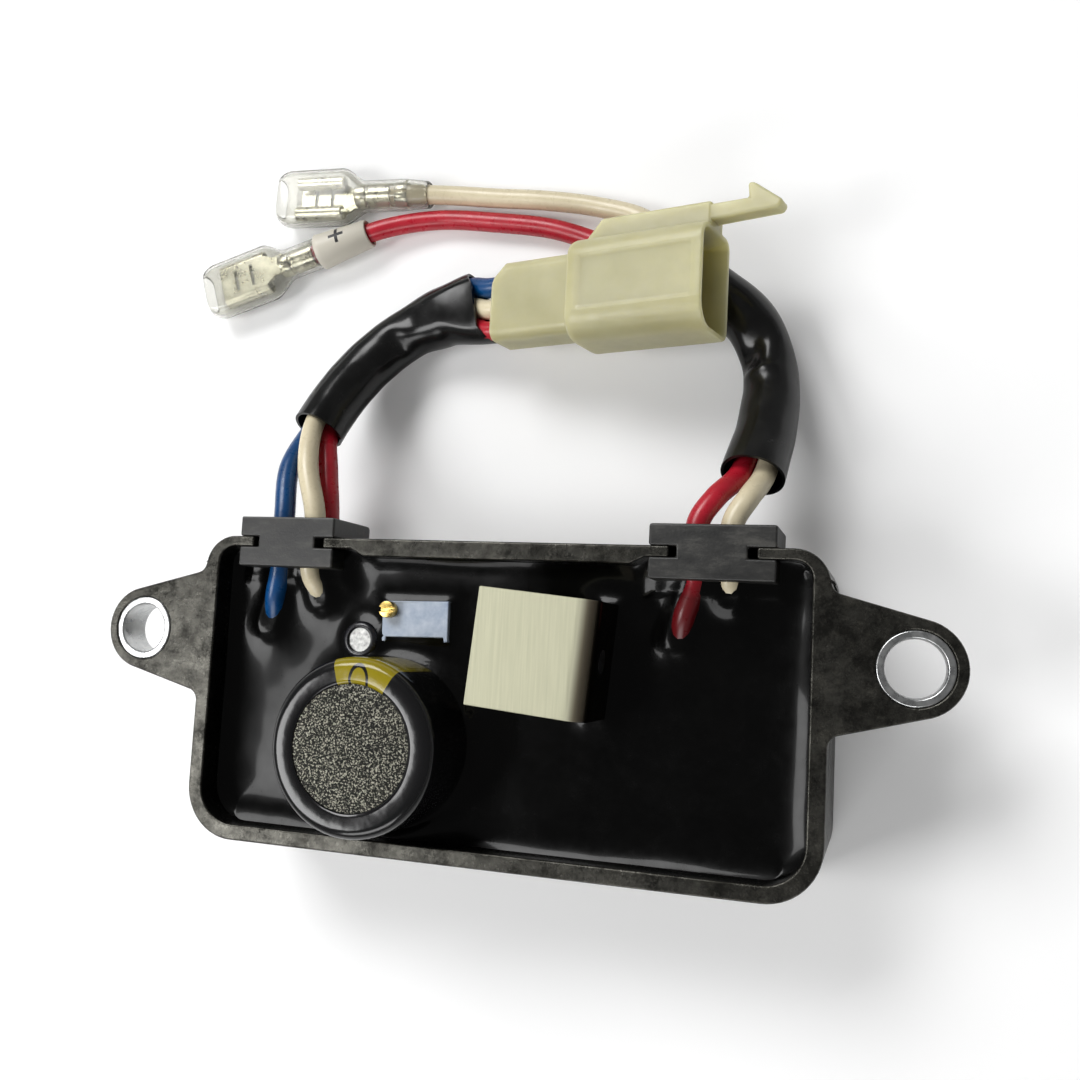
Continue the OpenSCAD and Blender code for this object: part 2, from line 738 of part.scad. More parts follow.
module rectifier_diodes() {
    color([0.12, 0.12, 0.12])
        for (i = [0 : diode_count - 1])
            on_board([board_half - diode_r - diode_edge - i * diode_pitch,
                board_mid - board_depth / 2 + diode_span / 2 + diode_edge + diode_lead_r])
                axial_part(diode_r, diode_length, diode_span, diode_r + diode_edge, diode_lead_r);
}

module resistors() {
    color([0.75, 0.65, 0.45])
        for (i = [0 : resistor_count - 1])
            on_board([-board_half + resistor_span / 2 + resistor_edge,
                board_mid - board_depth / 2 + resistor_r + resistor_edge + i * resistor_pitch])
                rotate([0, 0, 90]) axial_part(resistor_r, resistor_length, resistor_span,
                    resistor_r + resistor_stand, resistor_lead_r);
}

module control_chip() {
    body = [9.8, 6.4, 3.4];
    stand = 0.6;
    leg_pitch = 2.54;
    leg = [0.5, 1, 2.2];
    color([0.1, 0.1, 0.1]) on_board(chip_place) {
        translate([-body[0] / 2, -body[1] / 2, stand]) cube(body);
        for (i = [-1.5 : 1.5], y = [-1, 1])
            translate([i * leg_pitch - leg[0] / 2, y * body[1] / 2 - leg[1] / 2, 0]) cube(leg);
    }
}

// Potting that fills the tray round the parts and climbs a little up the capacitors
module climb(place, r) {
    translate([place[0], place[1], potting_top - past]) rotate_extrude() difference() {
        square([r + meniscus, meniscus + past]);
        translate([r + meniscus, meniscus + past]) circle(meniscus);
    }
}

module potting() {
    color([0.07, 0.07, 0.07]) difference() {
        intersection() {
            cavity(tray_height);
            union() {
                cavity(potting_top);
                climb(capacitor_place, capacitor_d / 2);
                climb(small_capacitor_place, small_capacitor_d / 2);
            }
        }
        standoffs();
        circuit_board();
        main_capacitor();
        main_capacitor_sleeve();
        small_capacitor();
        small_capacitor_sleeve();
        trimmer_block();
        trimmer_access();
        heat_sink();
        power_transistor();
        transistor_screw();
        rectifier_diodes();
        resistors();
        control_chip();
        grommet_form(left_grommet_x, left_flange_width);
        grommet_form(right_grommet_x, right_flange_width);
        left_blue_wire();
        left_white_wire();
        left_red_wire();
        right_red_wire();
        right_white_wire();
    }
}

// Leads

module left_blue_wire() color([0.1, 0.35, 0.6]) wire(concat(left_blue_start, left_lay(1), plug_entry(1)));
module left_white_wire() color([0.9, 0.88, 0.8]) wire(concat(left_white_start, left_lay(0), plug_entry(0)));
module left_red_wire() color([0.7, 0.1, 0.15]) wire(concat(left_red_start, left_lay(-1), plug_entry(-1)));

module right_red_wire() {
    finish = [
        for (u = [-marker_length, 0, crimp_seat]) on_terminal(red_terminal_place, red_terminal_turn, u)
    ];
    color([0.7, 0.1, 0.15])
        wire(concat(right_red_start, right_lay(right_red_side), right_red_end, finish));
}

module right_white_wire() {
    finish = [for (u = [-3, crimp_seat]) on_terminal(white_terminal_place, white_terminal_turn, u)];
    color([0.9, 0.88, 0.8])
        wire(concat(right_white_start, right_lay(right_white_side), right_white_end, finish));
}

module left_sleeve() {
    inner_r = [for (p = left_bundle) stack(p[3]) * 2 / 3 + wire_r + lead_sleeve_room];
    slot = [
        for (i = [0 : len(left_bundle) - 1])
            max(left_bundle[i][3] + wire_r + lead_sleeve_room - inner_r[i], 0.01)
    ];
    color([0.13, 0.13, 0.13]) lead_sleeve(points_of(left_bundle), slot, inner_r);
}

module right_sleeve() {
    inner_r = [for (p = right_bundle) right_red_side + wire_r + lead_sleeve_room];
    slot = [for (p = right_bundle) 0.01];
    color([0.13, 0.13, 0.13]) lead_sleeve(right_bundle, slot, inner_r);
}

// Plug on the three-wire lead: a rear body, an open shroud and a latch arm, moulded in one piece
module at_plug() {
    translate(plug_place) rotate([0, -plug_tilt, 0]) children();
}

module latch_outline() {
    root = shroud_width / 2;
    face = root + latch_rail;
    tip = shroud_end + latch_reach;
    hook = tip - latch_hook_length;
    start = plug_rear_length + plug_shoulder;
    polygon([[start, root - shroud_wall], [start, root], [start + latch_rise, face], [shroud_end, face],
        [shroud_end + latch_step, face - latch_step], [hook, face - latch_step],
        [hook - latch_step, face + latch_hook], [hook + 2 * latch_step, face + latch_hook],
        [tip, face - latch_step], [tip - latch_step, face - latch_arm],
        [shroud_end + 2 * latch_step, face - latch_arm], [shroud_end, root - shroud_wall]]);
}

module plug_housing() {
    shroud = [shroud_width, shroud_thickness];
    rear = [plug_rear_width, plug_rear_thickness];
    room = shroud_end - partition_start - partition;
    slice = 0.1;
    color([0.86, 0.84, 0.72]) at_plug() difference() {
        union() {
            along_x(plug_rear_length + slice) round_rectangle(rear[0], rear[1], plug_rear_r);
            hull() {
                translate([plug_rear_length, 0, 0]) along_x(slice)
                    round_rectangle(shroud[0] - plug_shoulder, shroud[1] - plug_shoulder,
                        shroud_r - plug_shoulder / 2, $fn = 32);
                translate([plug_rear_length + plug_shoulder - slice, 0, 0]) along_x(slice)
                    round_rectangle(shroud[0], shroud[1], shroud_r, $fn = 32);
            }
            translate([plug_rear_length + plug_shoulder - slice, 0, 0])
                along_x(shroud_length - plug_shoulder + slice)
                    round_rectangle(shroud[0], shroud[1], shroud_r);
            translate([0, 0, -latch_width / 2]) linear_extrude(latch_width) latch_outline();
        }
        translate([0, rear[0] / 2, -rear[1]]) linear_extrude(2 * rear[1])
            polygon([[-past, past], [-past, -plug_rear_bevel - past], [plug_rear_bevel + past, past]]);
        translate([partition_start + partition, 0, 0]) along_x(room + past)
            round_rectangle(shroud[0] - 2 * shroud_wall, shroud[1] - 2 * shroud_wall, shroud_r - shroud_wall);
        for (row = [-1 : 1]) translate([0, row * contact_pitch, 0]) {
            translate([-past, 0, 0]) rod(contact_hole_r, partition_start + past);
            translate([partition_start - past, -blade_width / 2, -blade_thickness / 2])
                cube([partition + 2 * past, blade_width, blade_thickness]);
        }
    }
}

module plug_contacts() {
    blade_end = shroud_end - blade_setback;
    color([0.8, 0.75, 0.55]) at_plug()
        for (row = [-1 : 1]) translate([0, row * contact_pitch, 0]) {
            translate([contact_seat, 0, 0]) rod(contact_hole_r, partition_start - contact_seat);
            translate([partition_start - past, -blade_width / 2, -blade_thickness / 2])
                cube([blade_end - partition_start + past, blade_width, blade_thickness]);
        }
}

// Spade terminals in clear boots. Each lies along +X from the point where its wire enters.
module at_terminal(place, turn, roll) {
    translate(place) rotate([roll, 0, turn]) children();
}

module at_red_terminal() at_terminal(red_terminal_place, red_terminal_turn, red_terminal_roll) children();
module at_white_terminal()
    at_terminal(white_terminal_place, white_terminal_turn, white_terminal_roll) children();

// Section of the receptacle: a strip whose edges curl up and over
module spade_section() {
    middle = spade_width / 2 - spade_curl_r;
    translate([-middle, 0]) square([2 * middle, spade_sheet]);
    for (side = [-1, 1]) scale([side, 1]) translate([middle, spade_curl_r]) difference() {
        circle(spade_curl_r);
        circle(spade_curl_r - spade_sheet);
        translate([-spade_curl_r - past, -spade_curl_r - past]) square(spade_curl_r + past);
    }
}

// Neck between the crimp and the receptacle, with sloping shoulders
module neck_outline() {
    flat = spade_width / 2 - spade_curl_r;
    half = spade_neck / 2;
    polygon([[crimp_length - 1, -half], [spade_start - shoulder_slope, -half],
        [spade_start, -flat], [spade_start + spade_sheet, -flat], [spade_start + spade_sheet, flat],
        [spade_start, flat], [spade_start - shoulder_slope, half], [crimp_length - 1, half]]);
}

module terminal() {
    groove = [0.6, 0.3];
    color([0.85, 0.84, 0.78]) {
        difference() {
            rod(crimp_r, crimp_length);
            translate([-past, 0, 0]) rod(wire_r, crimp_seat + past);
            translate([crimp_seat + groove[0], 0, 0]) difference() {
                rod(crimp_r + past, groove[0]);
                rod(crimp_r - groove[1], groove[0]);
            }
        }
        translate([0, 0, -spade_drop]) linear_extrude(spade_sheet) neck_outline();
        difference() {
            translate([spade_start, 0, -spade_drop]) along_x(spade_length) spade_section();
            for (along = tongue_cuts)
                translate([spade_start + along, -tongue_width / 2, -spade_drop - past])
                    cube([tongue_cut, tongue_width, spade_sheet + 2 * past]);
        }
    }
}

module red_terminal() at_red_terminal() terminal();
module white_terminal() at_white_terminal() terminal();

// Form of a boot: round at the neck and flat over the receptacle, grown by an amount. The taper between
// them ends a little inside both.
module boot_form(grow, extra) {
    flat = [spade_width + 0.2 + 2 * grow, 2 * spade_curl_r + boot_height_room + 2 * grow];
    middle = -spade_drop + spade_curl_r + boot_height_room / 2;
    flat_r = min(flat[1] / 2 - 0.05, 1.6);
    neck_r = boot_neck_r - boot_wall + grow;
    inside = 0.03;
    lap = 0.3;
    translate([boot_neck_end - extra, 0, 0]) rod(neck_r, boot_taper_start - boot_neck_end + extra);
    hull() {
        translate([boot_taper_start - lap, 0, 0]) rotate([0, 90, 0])
            cylinder(r = neck_r - inside, h = lap / 2, $fn = 32);
        translate([boot_taper_end + lap / 2, 0, middle]) along_x(lap / 2)
            round_rectangle(flat[0] - 2 * inside, flat[1] - 2 * inside, flat_r, $fn = 32);
    }
    translate([boot_taper_end, 0, middle]) along_x(boot_length + boot_neck_end - boot_taper_end + extra)
        round_rectangle(flat[0], flat[1], flat_r);
}

module boot() {
    color([0.9, 0.9, 0.88, 0.4]) difference() {
        boot_form(boot_wall, 0);
        boot_form(0, past);
    }
}

module red_boot() at_red_terminal() boot();
module white_boot() at_white_terminal() boot();

// White tube on the red wire, pushed over the neck of its boot
module marker_tube() {
    start = boot_neck_end + marker_over_boot;
    color([0.93, 0.92, 0.88]) at_red_terminal() difference() {
        translate([start, 0, 0]) rotate([0, -90, 0])
            cylinder(r1 = marker_big_r, r2 = marker_small_r, h = marker_length);
        translate([start - marker_length - past, 0, 0]) rod(marker_bore_r, marker_length + 2 * past);
        translate([boot_neck_end, 0, 0]) rod(boot_neck_r, marker_over_boot + past);
    }
}

module in_place() translate([0, origin_y, 0]) children();

in_place() tray();
in_place() left_bushing();
in_place() right_bushing();
in_place() circuit_board();
in_place() main_capacitor();
in_place() main_capacitor_sleeve();
in_place() small_capacitor();
in_place() small_capacitor_sleeve();
in_place() trimmer_body();
in_place() trimmer_screw();
in_place() heat_sink();
in_place() power_transistor();
in_place() transistor_screw();
in_place() rectifier_diodes();
in_place() resistors();
in_place() control_chip();
in_place() potting();
in_place() left_grommet();
in_place() right_grommet();
in_place() left_blue_wire();
in_place() left_white_wire();
in_place() left_red_wire();
in_place() right_red_wire();
in_place() right_white_wire();
in_place() left_sleeve();
in_place() right_sleeve();
in_place() plug_housing();
in_place() plug_contacts();
in_place() red_terminal();
in_place() white_terminal();
in_place() red_boot();
in_place() white_boot();
in_place() marker_tube();
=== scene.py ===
import math

import bmesh
import bpy
from mathutils import Matrix, Vector, noise


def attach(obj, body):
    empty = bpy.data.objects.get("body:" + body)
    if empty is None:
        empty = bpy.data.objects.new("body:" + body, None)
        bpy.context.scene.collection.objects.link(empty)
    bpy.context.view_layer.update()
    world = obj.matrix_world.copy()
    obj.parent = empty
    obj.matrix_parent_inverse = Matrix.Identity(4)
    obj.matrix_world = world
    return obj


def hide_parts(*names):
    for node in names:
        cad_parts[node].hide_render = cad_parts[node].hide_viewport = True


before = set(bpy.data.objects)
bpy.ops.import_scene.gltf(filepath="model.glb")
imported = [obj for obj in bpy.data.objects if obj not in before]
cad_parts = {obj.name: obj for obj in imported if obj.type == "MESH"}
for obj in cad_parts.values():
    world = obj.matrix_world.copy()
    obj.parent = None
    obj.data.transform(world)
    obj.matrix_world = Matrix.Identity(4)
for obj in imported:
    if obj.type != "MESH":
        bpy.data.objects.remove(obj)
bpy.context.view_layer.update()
scene = bpy.context.scene
scene.view_settings.view_transform = "Standard"


# Studio: a pale floor that curves up into a low wall all round, two large soft lamps and a
# small one, and a camera that stands where the photograph was taken from.
def material(name, **fixed):
    """A new material whose shader has these sockets set."""
    made = bpy.data.materials.new(name)
    made.use_nodes = True
    shader = made.node_tree.nodes["Principled BSDF"]
    for socket, value in fixed.items():
        shader.inputs[socket.replace("_", " ")].default_value = value
    return made, made.node_tree, shader


def value_of(tree, operation, a, b=None):
    """One sum on patterns or numbers."""
    node = tree.nodes.new("ShaderNodeMath")
    node.operation = operation
    for socket, value in zip(node.inputs, (a, b)):
        if isinstance(value, (int, float)):
            socket.default_value = value
        elif value is not None:
            tree.links.new(value, socket)
    return node.outputs[0]


def mesh_piece(name, points, faces):
    """A smooth piece from its points and faces."""
    mesh = bpy.data.meshes.new(name)
    mesh.from_pydata([tuple(p) for p in points], [], [tuple(f) for f in faces])
    mesh.validate()
    mesh.shade_smooth()
    piece = bpy.data.objects.new(name, mesh)
    scene.collection.objects.link(piece)
    return piece


def turned(name, profile, place=(0, 0, 0), segments=96):
    """A closed round piece: each profile entry is a radius and a height. Radius 0 closes an end,
    and so does a last entry that is the same as the first."""
    points, faces, rows = [], [], []
    for r, z in profile:
        if rows and (r, z) == profile[0]:
            rows.append(rows[0])
            continue
        if r == 0:
            rows.append([len(points)] * segments)
            points.append((place[0], place[1], place[2] + z))
            continue
        rows.append(list(range(len(points), len(points) + segments)))
        for k in range(segments):
            a = 2 * math.pi * k / segments
            points.append((place[0] + r * math.cos(a), place[1] + r * math.sin(a), place[2] + z))
    for low, high in zip(rows, rows[1:]):
        for k in range(segments):
            n = (k + 1) % segments
            corners = dict.fromkeys((low[k], low[n], high[n], high[k]))
            if len(corners) > 2:
                faces.append(tuple(corners))
    return mesh_piece(name, points, faces)


def studio_floor():
    reach, bend, wall, glow = 1.4, 0.3, 0.7, 0.12
    profile = [(0, 0), (reach, 0)]
    for step in range(1, 13):
        a = math.pi / 2 * step / 12
        profile.append((reach + bend * math.sin(a), bend * (1 - math.cos(a))))
    profile.append((reach + bend, wall))
    floor = turned("studio_floor", profile, segments=64)
    made, tree, shader = material("studio_paper", Base_Color=(0.9, 0.9, 0.9, 1), Roughness=0.9,
                                  Specular_IOR_Level=0, Emission_Color=(1, 1, 1, 1))
    path = tree.nodes.new("ShaderNodeLightPath")
    seen = value_of(tree, "MAXIMUM", path.outputs["Is Camera Ray"], path.outputs["Is Transmission Ray"])
    tree.links.new(value_of(tree, "MULTIPLY", seen, glow), shader.inputs["Emission Strength"])
    floor.data.materials.append(made)


def soft_lamp(name, place, aim, size, watts):
    data = bpy.data.lights.new(name, "AREA")
    data.shape = "RECTANGLE"
    data.size, data.size_y = size
    data.energy = watts
    lamp = bpy.data.objects.new(name, data)
    lamp.location = place
    lamp.rotation_euler = (Vector(aim) - Vector(place)).to_track_quat("-Z", "Y").to_euler()
    scene.collection.objects.link(lamp)


studio_floor()
soft_lamp("window_lamp", (-0.35, -0.11, 0.44), (-0.02, 0, 0.01), (0.22, 0.20), 1.35)
soft_lamp("back_left_lamp", (-0.33, 0.54, 0.62), (0, 0.02, 0.01), (0.45, 0.35), 5.2)
soft_lamp("front_lamp", (-0.15, -0.75, 0.55), (0, 0, 0.01), (0.6, 0.30), 2.8)
world = bpy.data.worlds.new("studio_air")
world.use_nodes = True
air = world.node_tree.nodes["Background"]
air.inputs["Color"].default_value = (1, 1, 1, 1)
air.inputs["Strength"].default_value = 0.16
scene.world = world

camera_place = (0.04868, 0.00621, 0.15035)
camera_right = Vector((0.9516, 0.0526, -0.3028)).normalized()
camera_up = Vector((-0.0207, 0.994, 0.1076)).normalized()
camera_lens = bpy.data.cameras.new("camera")
camera_lens.sensor_width = 36
camera_lens.lens = 36.45
camera_lens.clip_start = 0.005
camera = bpy.data.objects.new("camera", camera_lens)
turn = Matrix((camera_right, camera_up, camera_right.cross(camera_up))).transposed()
camera.matrix_world = Matrix.Translation(camera_place) @ turn.to_4x4()
scene.collection.objects.link(camera)
scene.camera = camera


# Tray: black glass-filled plastic, moulded in one piece with its two ears and the cable notches.
# Its edges are broken by the mould and handling has scuffed its gloss. Its top faces carry a grey
# mottle that is partly the plastic's grain and partly a painted sheen of light; the walls stay black.
def fitted(piece, finish, node, body="regulator"):
    """A piece with its finish, on its body and in place of its solid."""
    piece.data.materials.append(finish)
    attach(piece, body)
    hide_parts(node)
    return piece


def softened(node, name, radius, finish, body="regulator"):
    """A copy of a solid with its sharp edges rounded, in place of the solid."""
    weld, flat, sharp, crisp = 3e-6, math.radians(0.6), math.radians(30), math.radians(50)
    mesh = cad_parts[node].data.copy()
    mesh.name = name
    mesh.materials.clear()
    shape = bmesh.new()
    shape.from_mesh(mesh)
    bmesh.ops.remove_doubles(shape, verts=shape.verts, dist=weld)
    bmesh.ops.dissolve_limit(shape, angle_limit=flat, verts=shape.verts, edges=shape.edges)
    edges = [e for e in shape.edges if len(e.link_faces) == 2 and e.calc_face_angle() > sharp]
    bmesh.ops.bevel(
        shape, geom=edges, offset=radius, offset_type="OFFSET", segments=2, profile=0.5,
        affect="EDGES", clamp_overlap=False, loop_slide=True, harden_normals=False)
    shape.to_mesh(mesh)
    shape.free()
    mesh.shade_smooth()
    mesh.set_sharp_from_angle(angle=crisp)
    piece = bpy.data.objects.new(name, mesh)
    scene.collection.objects.link(piece)
    even = piece.modifiers.new("even_shading", "WEIGHTED_NORMAL")
    even.keep_sharp = True
    return fitted(piece, finish, node, body)


def place_axes(tree, middle=(0, 0, 0), askew=0.0):
    """Where a point of the piece lies from a middle, along X, Y and Z that are turned about Z."""
    where = tree.nodes.new("ShaderNodeTexCoord")
    spot = tree.nodes.new("ShaderNodeMapping")
    spot.vector_type = "TEXTURE"
    spot.inputs["Location"].default_value = middle
    spot.inputs["Rotation"].default_value = (0, 0, askew)
    axes = tree.nodes.new("ShaderNodeSeparateXYZ")
    tree.links.new(where.outputs["Object"], spot.inputs["Vector"])
    tree.links.new(spot.outputs["Vector"], axes.inputs[0])
    return axes.outputs


def place_noise(tree, scale, detail=3, roughness=0.5, stretch=(1, 1, 1)):
    """A noise pattern fixed to the piece. Scale is in patches to the metre."""
    where = tree.nodes.new("ShaderNodeTexCoord")
    spread = tree.nodes.new("ShaderNodeMapping")
    spread.inputs["Scale"].default_value = stretch
    pattern = tree.nodes.new("ShaderNodeTexNoise")
    pattern.inputs["Scale"].default_value = scale
    pattern.inputs["Detail"].default_value = detail
    pattern.inputs["Roughness"].default_value = roughness
    tree.links.new(where.outputs["Object"], spread.inputs["Vector"])
    tree.links.new(spread.outputs["Vector"], pattern.inputs["Vector"])
    return pattern.outputs["Fac"]


def colour_by(tree, shader, factor, stops):
    """Base colour from a pattern: each stop is a position and a colour."""
    ramp = tree.nodes.new("ShaderNodeValToRGB")
    while len(ramp.color_ramp.elements) < len(stops):
        ramp.color_ramp.elements.new(0.5)
    for element, (position, colour) in zip(ramp.color_ramp.elements, stops):
        element.position = position
        element.color = (*colour, 1)
    tree.links.new(factor, ramp.inputs["Fac"])
    tree.links.new(ramp.outputs["Color"], shader.inputs["Base Color"])


def ranged(tree, factor, low, high, start, end, blend="LINEAR"):
    """A pattern that runs from low to high while the factor runs from start to end."""
    span = tree.nodes.new("ShaderNodeMapRange")
    span.interpolation_type = blend
    for name, value in (("From Min", start), ("From Max", end), ("To Min", low), ("To Max", high)):
        span.inputs[name].default_value = value
    tree.links.new(factor, span.inputs["Value"])
    return span.outputs["Result"]


def range_by(tree, factor, socket, low, high, start=0.3, end=0.7):
    tree.links.new(ranged(tree, factor, low, high, start, end), socket)


def relief(tree, shader, height, depth, strength=1.0):
    bump = tree.nodes.new("ShaderNodeBump")
    bump.inputs["Strength"].default_value = strength
    bump.inputs["Distance"].default_value = depth
    tree.links.new(height, bump.inputs["Height"])
    tree.links.new(bump.outputs["Normal"], shader.inputs["Normal"])


def tray_finish():
    made, tree, shader = material("tray_plastic", Specular_Tint=(1, 0.97, 0.85, 1))
    rim = ranged(tree, place_axes(tree)["Z"], 0, 1, 0.0187, 0.0197)
    # Painted sheen: the grey mottle is only on the top faces, where light falls. The walls keep the darkest
    # colour.
    top_mottle_and_sheen = value_of(tree, "MULTIPLY", rim, place_noise(tree, 190, 9, 0.84))
    colour_by(tree, shader, top_mottle_and_sheen, [(0.2, (0.002, 0.002, 0.002)), (0.42, (0.0035, 0.0034, 0.0032)),
                                   (0.52, (0.007, 0.0068, 0.006)), (0.66, (0.03, 0.0285, 0.024))])
    scuffs = place_noise(tree, 230, 9, 0.85)
    range_by(tree, scuffs, shader.inputs["Specular IOR Level"], 0.15, 1.0, 0.4, 0.6)
    range_by(tree, place_noise(tree, 260, 9, 0.85), shader.inputs["Roughness"], 0.2, 0.36)
    relief(tree, shader, place_noise(tree, 2600, 4, 0.75), 0.00009, 0.5)
    return made


tray_edge = 0.00028
softened("tray", "tray_moulding", tray_edge, tray_finish())


# Bushings: zinc-plated steel rings pressed into the ears, so that the fixing screws don't
# crush the plastic. Turned, with broken edges, and bright where the plating catches the light.
def zinc_finish():
    made, tree, shader = material("bushing_zinc", Metallic=1.0)
    cloud = place_noise(tree, 700, 4, 0.6)
    colour_by(tree, shader, cloud, [(0.3, (0.40, 0.41, 0.415)), (0.7, (0.60, 0.605, 0.60))])
    range_by(tree, cloud, shader.inputs["Roughness"], 0.22, 0.36)
    relief(tree, shader, place_noise(tree, 900, 3, 0.5, (1, 1, 9)), 0.00002, 0.5)
    return made


zinc, bushing_edge = zinc_finish(), 0.00022
for side in ("left", "right"):
    softened(f"{side}_bushing", f"{side}_bushing_ring", bushing_edge, zinc)


# Circuit: a glass-fibre board on the tray's standoffs with the transistor, its screw, the diodes,
# the resistors and the chip. Most of it lies under the potting, and it shows as its solids.
def dressed(node, finish):
    """A solid that shows as it is, with a finish of its own."""
    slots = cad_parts[node].data.materials
    slots.clear()
    slots.append(finish)


def speckled(name, dark, light, roughness, scale=1500, **fixed):
    """A plain moulded, coated or plated finish with a fine two-tone speckle."""
    made, tree, shader = material(name, **fixed)
    speck = place_noise(tree, scale, 4, 0.6)
    colour_by(tree, shader, speck, [(0.3, dark), (0.7, light)])
    range_by(tree, speck, shader.inputs["Roughness"], roughness * 0.8, min(1.0, roughness * 1.2))
    relief(tree, shader, speck, 0.00001, 0.4)
    return made


moulded_black = speckled("component_black", (0.008, 0.008, 0.009), (0.02, 0.02, 0.021), 0.5)
for node in ("power_transistor", "rectifier_diodes", "control_chip"):
    dressed(node, moulded_black)
dressed("circuit_board", speckled("board_laminate", (0.015, 0.07, 0.03), (0.03, 0.11, 0.05), 0.45))
dressed("transistor_screw",
        speckled("screw_steel", (0.05, 0.05, 0.05), (0.11, 0.11, 0.108), 0.5, Metallic=1.0))
dressed("resistors", speckled("resistor_coat", (0.5, 0.38, 0.2), (0.6, 0.47, 0.28), 0.5))


# Main capacitor: an aluminium can in a shrunk black film. The film turns in over the top and leaves
# a bare grainy disc. A pale polarity stripe with an oval runs down the film.
capacitor_place = (-0.0144, -0.00755, 0.006)
capacitor_r, capacitor_height, disc_r = 0.0112, 0.0215, 0.00785
film, film_edge, film_start = 0.00025, 0.0014, 0.0002


def can_profile(r, height, edge):
    """Half the outline of a can, from the middle of its base to the end of its round top edge."""
    base_edge = 0.0003
    profile = [(0, 0), (r - base_edge, 0), (r, base_edge)]
    for step in range(11):
        a = math.pi / 2 * step / 10
        profile.append((r - edge + edge * math.cos(a), height - edge + edge * math.sin(a)))
    return profile


def grainy_can_finish():
    made, tree, shader = material("can_aluminium", Metallic=0.75)
    grain = place_noise(tree, 4600, 2, 0.6)
    colour_by(tree, shader, grain, [(0.40, (0.003, 0.003, 0.0024)), (0.52, (0.015, 0.0146, 0.0115)),
                                    (0.64, (0.27, 0.262, 0.212))])
    range_by(tree, grain, shader.inputs["Roughness"], 0.55, 0.38)
    relief(tree, shader, grain, 0.00006, 0.8)
    return made


def film_finish():
    """Black film. The stripe is where a point's bearing from the can's middle is a little right of +Y."""
    made, tree, shader = material(
        "film_black", Specular_IOR_Level=0.35, Coat_Weight=0.15, Coat_Roughness=0.05)
    stripe_bearing, stripe_half, oval_line = 0.13, math.radians(23), 0.15
    oval_middle, oval_half = (0.0007, 0.0083), (0.0012, 0.0019)

    def off(value, middle):
        return value_of(tree, "SUBTRACT", value, middle)

    axes = place_axes(tree, (capacitor_place[0], capacitor_place[1], 0))
    bearing = off(value_of(tree, "ARCTAN2", axes["X"], axes["Y"]), stripe_bearing)
    stripe = value_of(tree, "LESS_THAN", value_of(tree, "ABSOLUTE", bearing), stripe_half)
    across = value_of(tree, "DIVIDE", off(axes["X"], oval_middle[0]), oval_half[0])
    out = value_of(tree, "DIVIDE", off(axes["Y"], oval_middle[1]), oval_half[1])
    squares = [value_of(tree, "MULTIPLY", side, side) for side in (across, out)]
    oval = value_of(tree, "SQRT", value_of(tree, "ADD", *squares))
    line = value_of(tree, "LESS_THAN", value_of(tree, "ABSOLUTE", off(oval, 1)), oval_line)
    print_here = value_of(tree, "MULTIPLY", stripe, off(1, line))
    wear = value_of(tree, "ADD", 0.72, value_of(tree, "MULTIPLY", 0.5, place_noise(tree, 1500, 4, 0.7)))
    colour_by(tree, shader, value_of(tree, "MULTIPLY", print_here, wear),
              [(0.05, (0.006, 0.006, 0.0065)), (0.95, (0.27, 0.215, 0.008))])
    shader.inputs["Roughness"].default_value = 0.15
    relief(tree, shader, place_noise(tree, 420, 2), 0.00012, 0.35)
    return made


can = turned("main_capacitor_can",
             can_profile(capacitor_r - film, capacitor_height - film, film_edge - film)
             + [(disc_r, capacitor_height - film), (0, capacitor_height - film)], capacitor_place)
fitted(can, grainy_can_finish(), "main_capacitor")
film_foot = (capacitor_r - film_start, film_start)
film_sleeve = turned(
    "main_capacitor_film",
    [film_foot] + can_profile(capacitor_r, capacitor_height, film_edge)[2:] + [
        (disc_r + 0.0006, capacitor_height + 0.00004), (disc_r + 0.0002, capacitor_height - 0.00005),
        (disc_r, capacitor_height - film), (capacitor_r - film_edge, capacitor_height - film),
        (capacitor_r - film, capacitor_height - film_edge), (capacitor_r - film, film_start), film_foot],
    capacitor_place)
fitted(film_sleeve, film_finish(), "main_capacitor_sleeve")


# Small capacitor: a bright aluminium can in a dark shrunk film, made like the main one and
# soldered to the board. Most of it is sunk in the potting.
small_place = (-0.0193, 0.00575, 0.006)
small_r, small_height, small_disc_r = 0.0025, 0.011, 0.0016
small_can_r, small_can_height = small_r - film, small_height - film
small_can = turned("small_capacitor_can", can_profile(small_can_r, small_can_height, 0.00035)
                   + [(small_disc_r, small_can_height), (0, small_can_height - 0.00003)], small_place, 48)
bright_can = speckled("small_can_aluminium", (0.22, 0.22, 0.215), (0.7, 0.7, 0.68), 0.42, Metallic=0.7)
fitted(small_can, bright_can, "small_capacitor")
small_foot = (small_r - 0.0001, film_start)
small_film = turned(
    "small_capacitor_film",
    [small_foot] + can_profile(small_r, small_height, 0.0006)[2:] + [
        (small_disc_r + 0.0002, small_height), (small_disc_r, small_height - 0.00015),
        (small_disc_r + 0.0003, small_can_height), (small_can_r, small_height - 0.0006),
        (small_can_r, film_start), small_foot], small_place, 48)
fitted(small_film, speckled("small_film_black", (0.008, 0.008, 0.01), (0.016, 0.016, 0.02), 0.25),
       "small_capacitor_sleeve")


# Trimmer: a pale blue-grey moulded block with a slotted brass screw that sets the voltage.
# The screw turns in the block; the block stands in the potting.
trimmer_place, trimmer_size, trimmer_askew = (-0.0116, 0.00885), (0.00953, 0.00483), 1.5
trimmer_edge, screw_edge = 0.00018, 0.00007
softened("trimmer_body", "trimmer_block", trimmer_edge,
         speckled("trimmer_plastic", (0.31, 0.38, 0.50), (0.50, 0.56, 0.65), 0.4, 700))
softened("trimmer_screw", "trimmer_adjuster", screw_edge,
         speckled("trimmer_brass", (0.55, 0.38, 0.09), (0.78, 0.58, 0.2), 0.3, 2500, Metallic=1.0),
         body="adjuster")
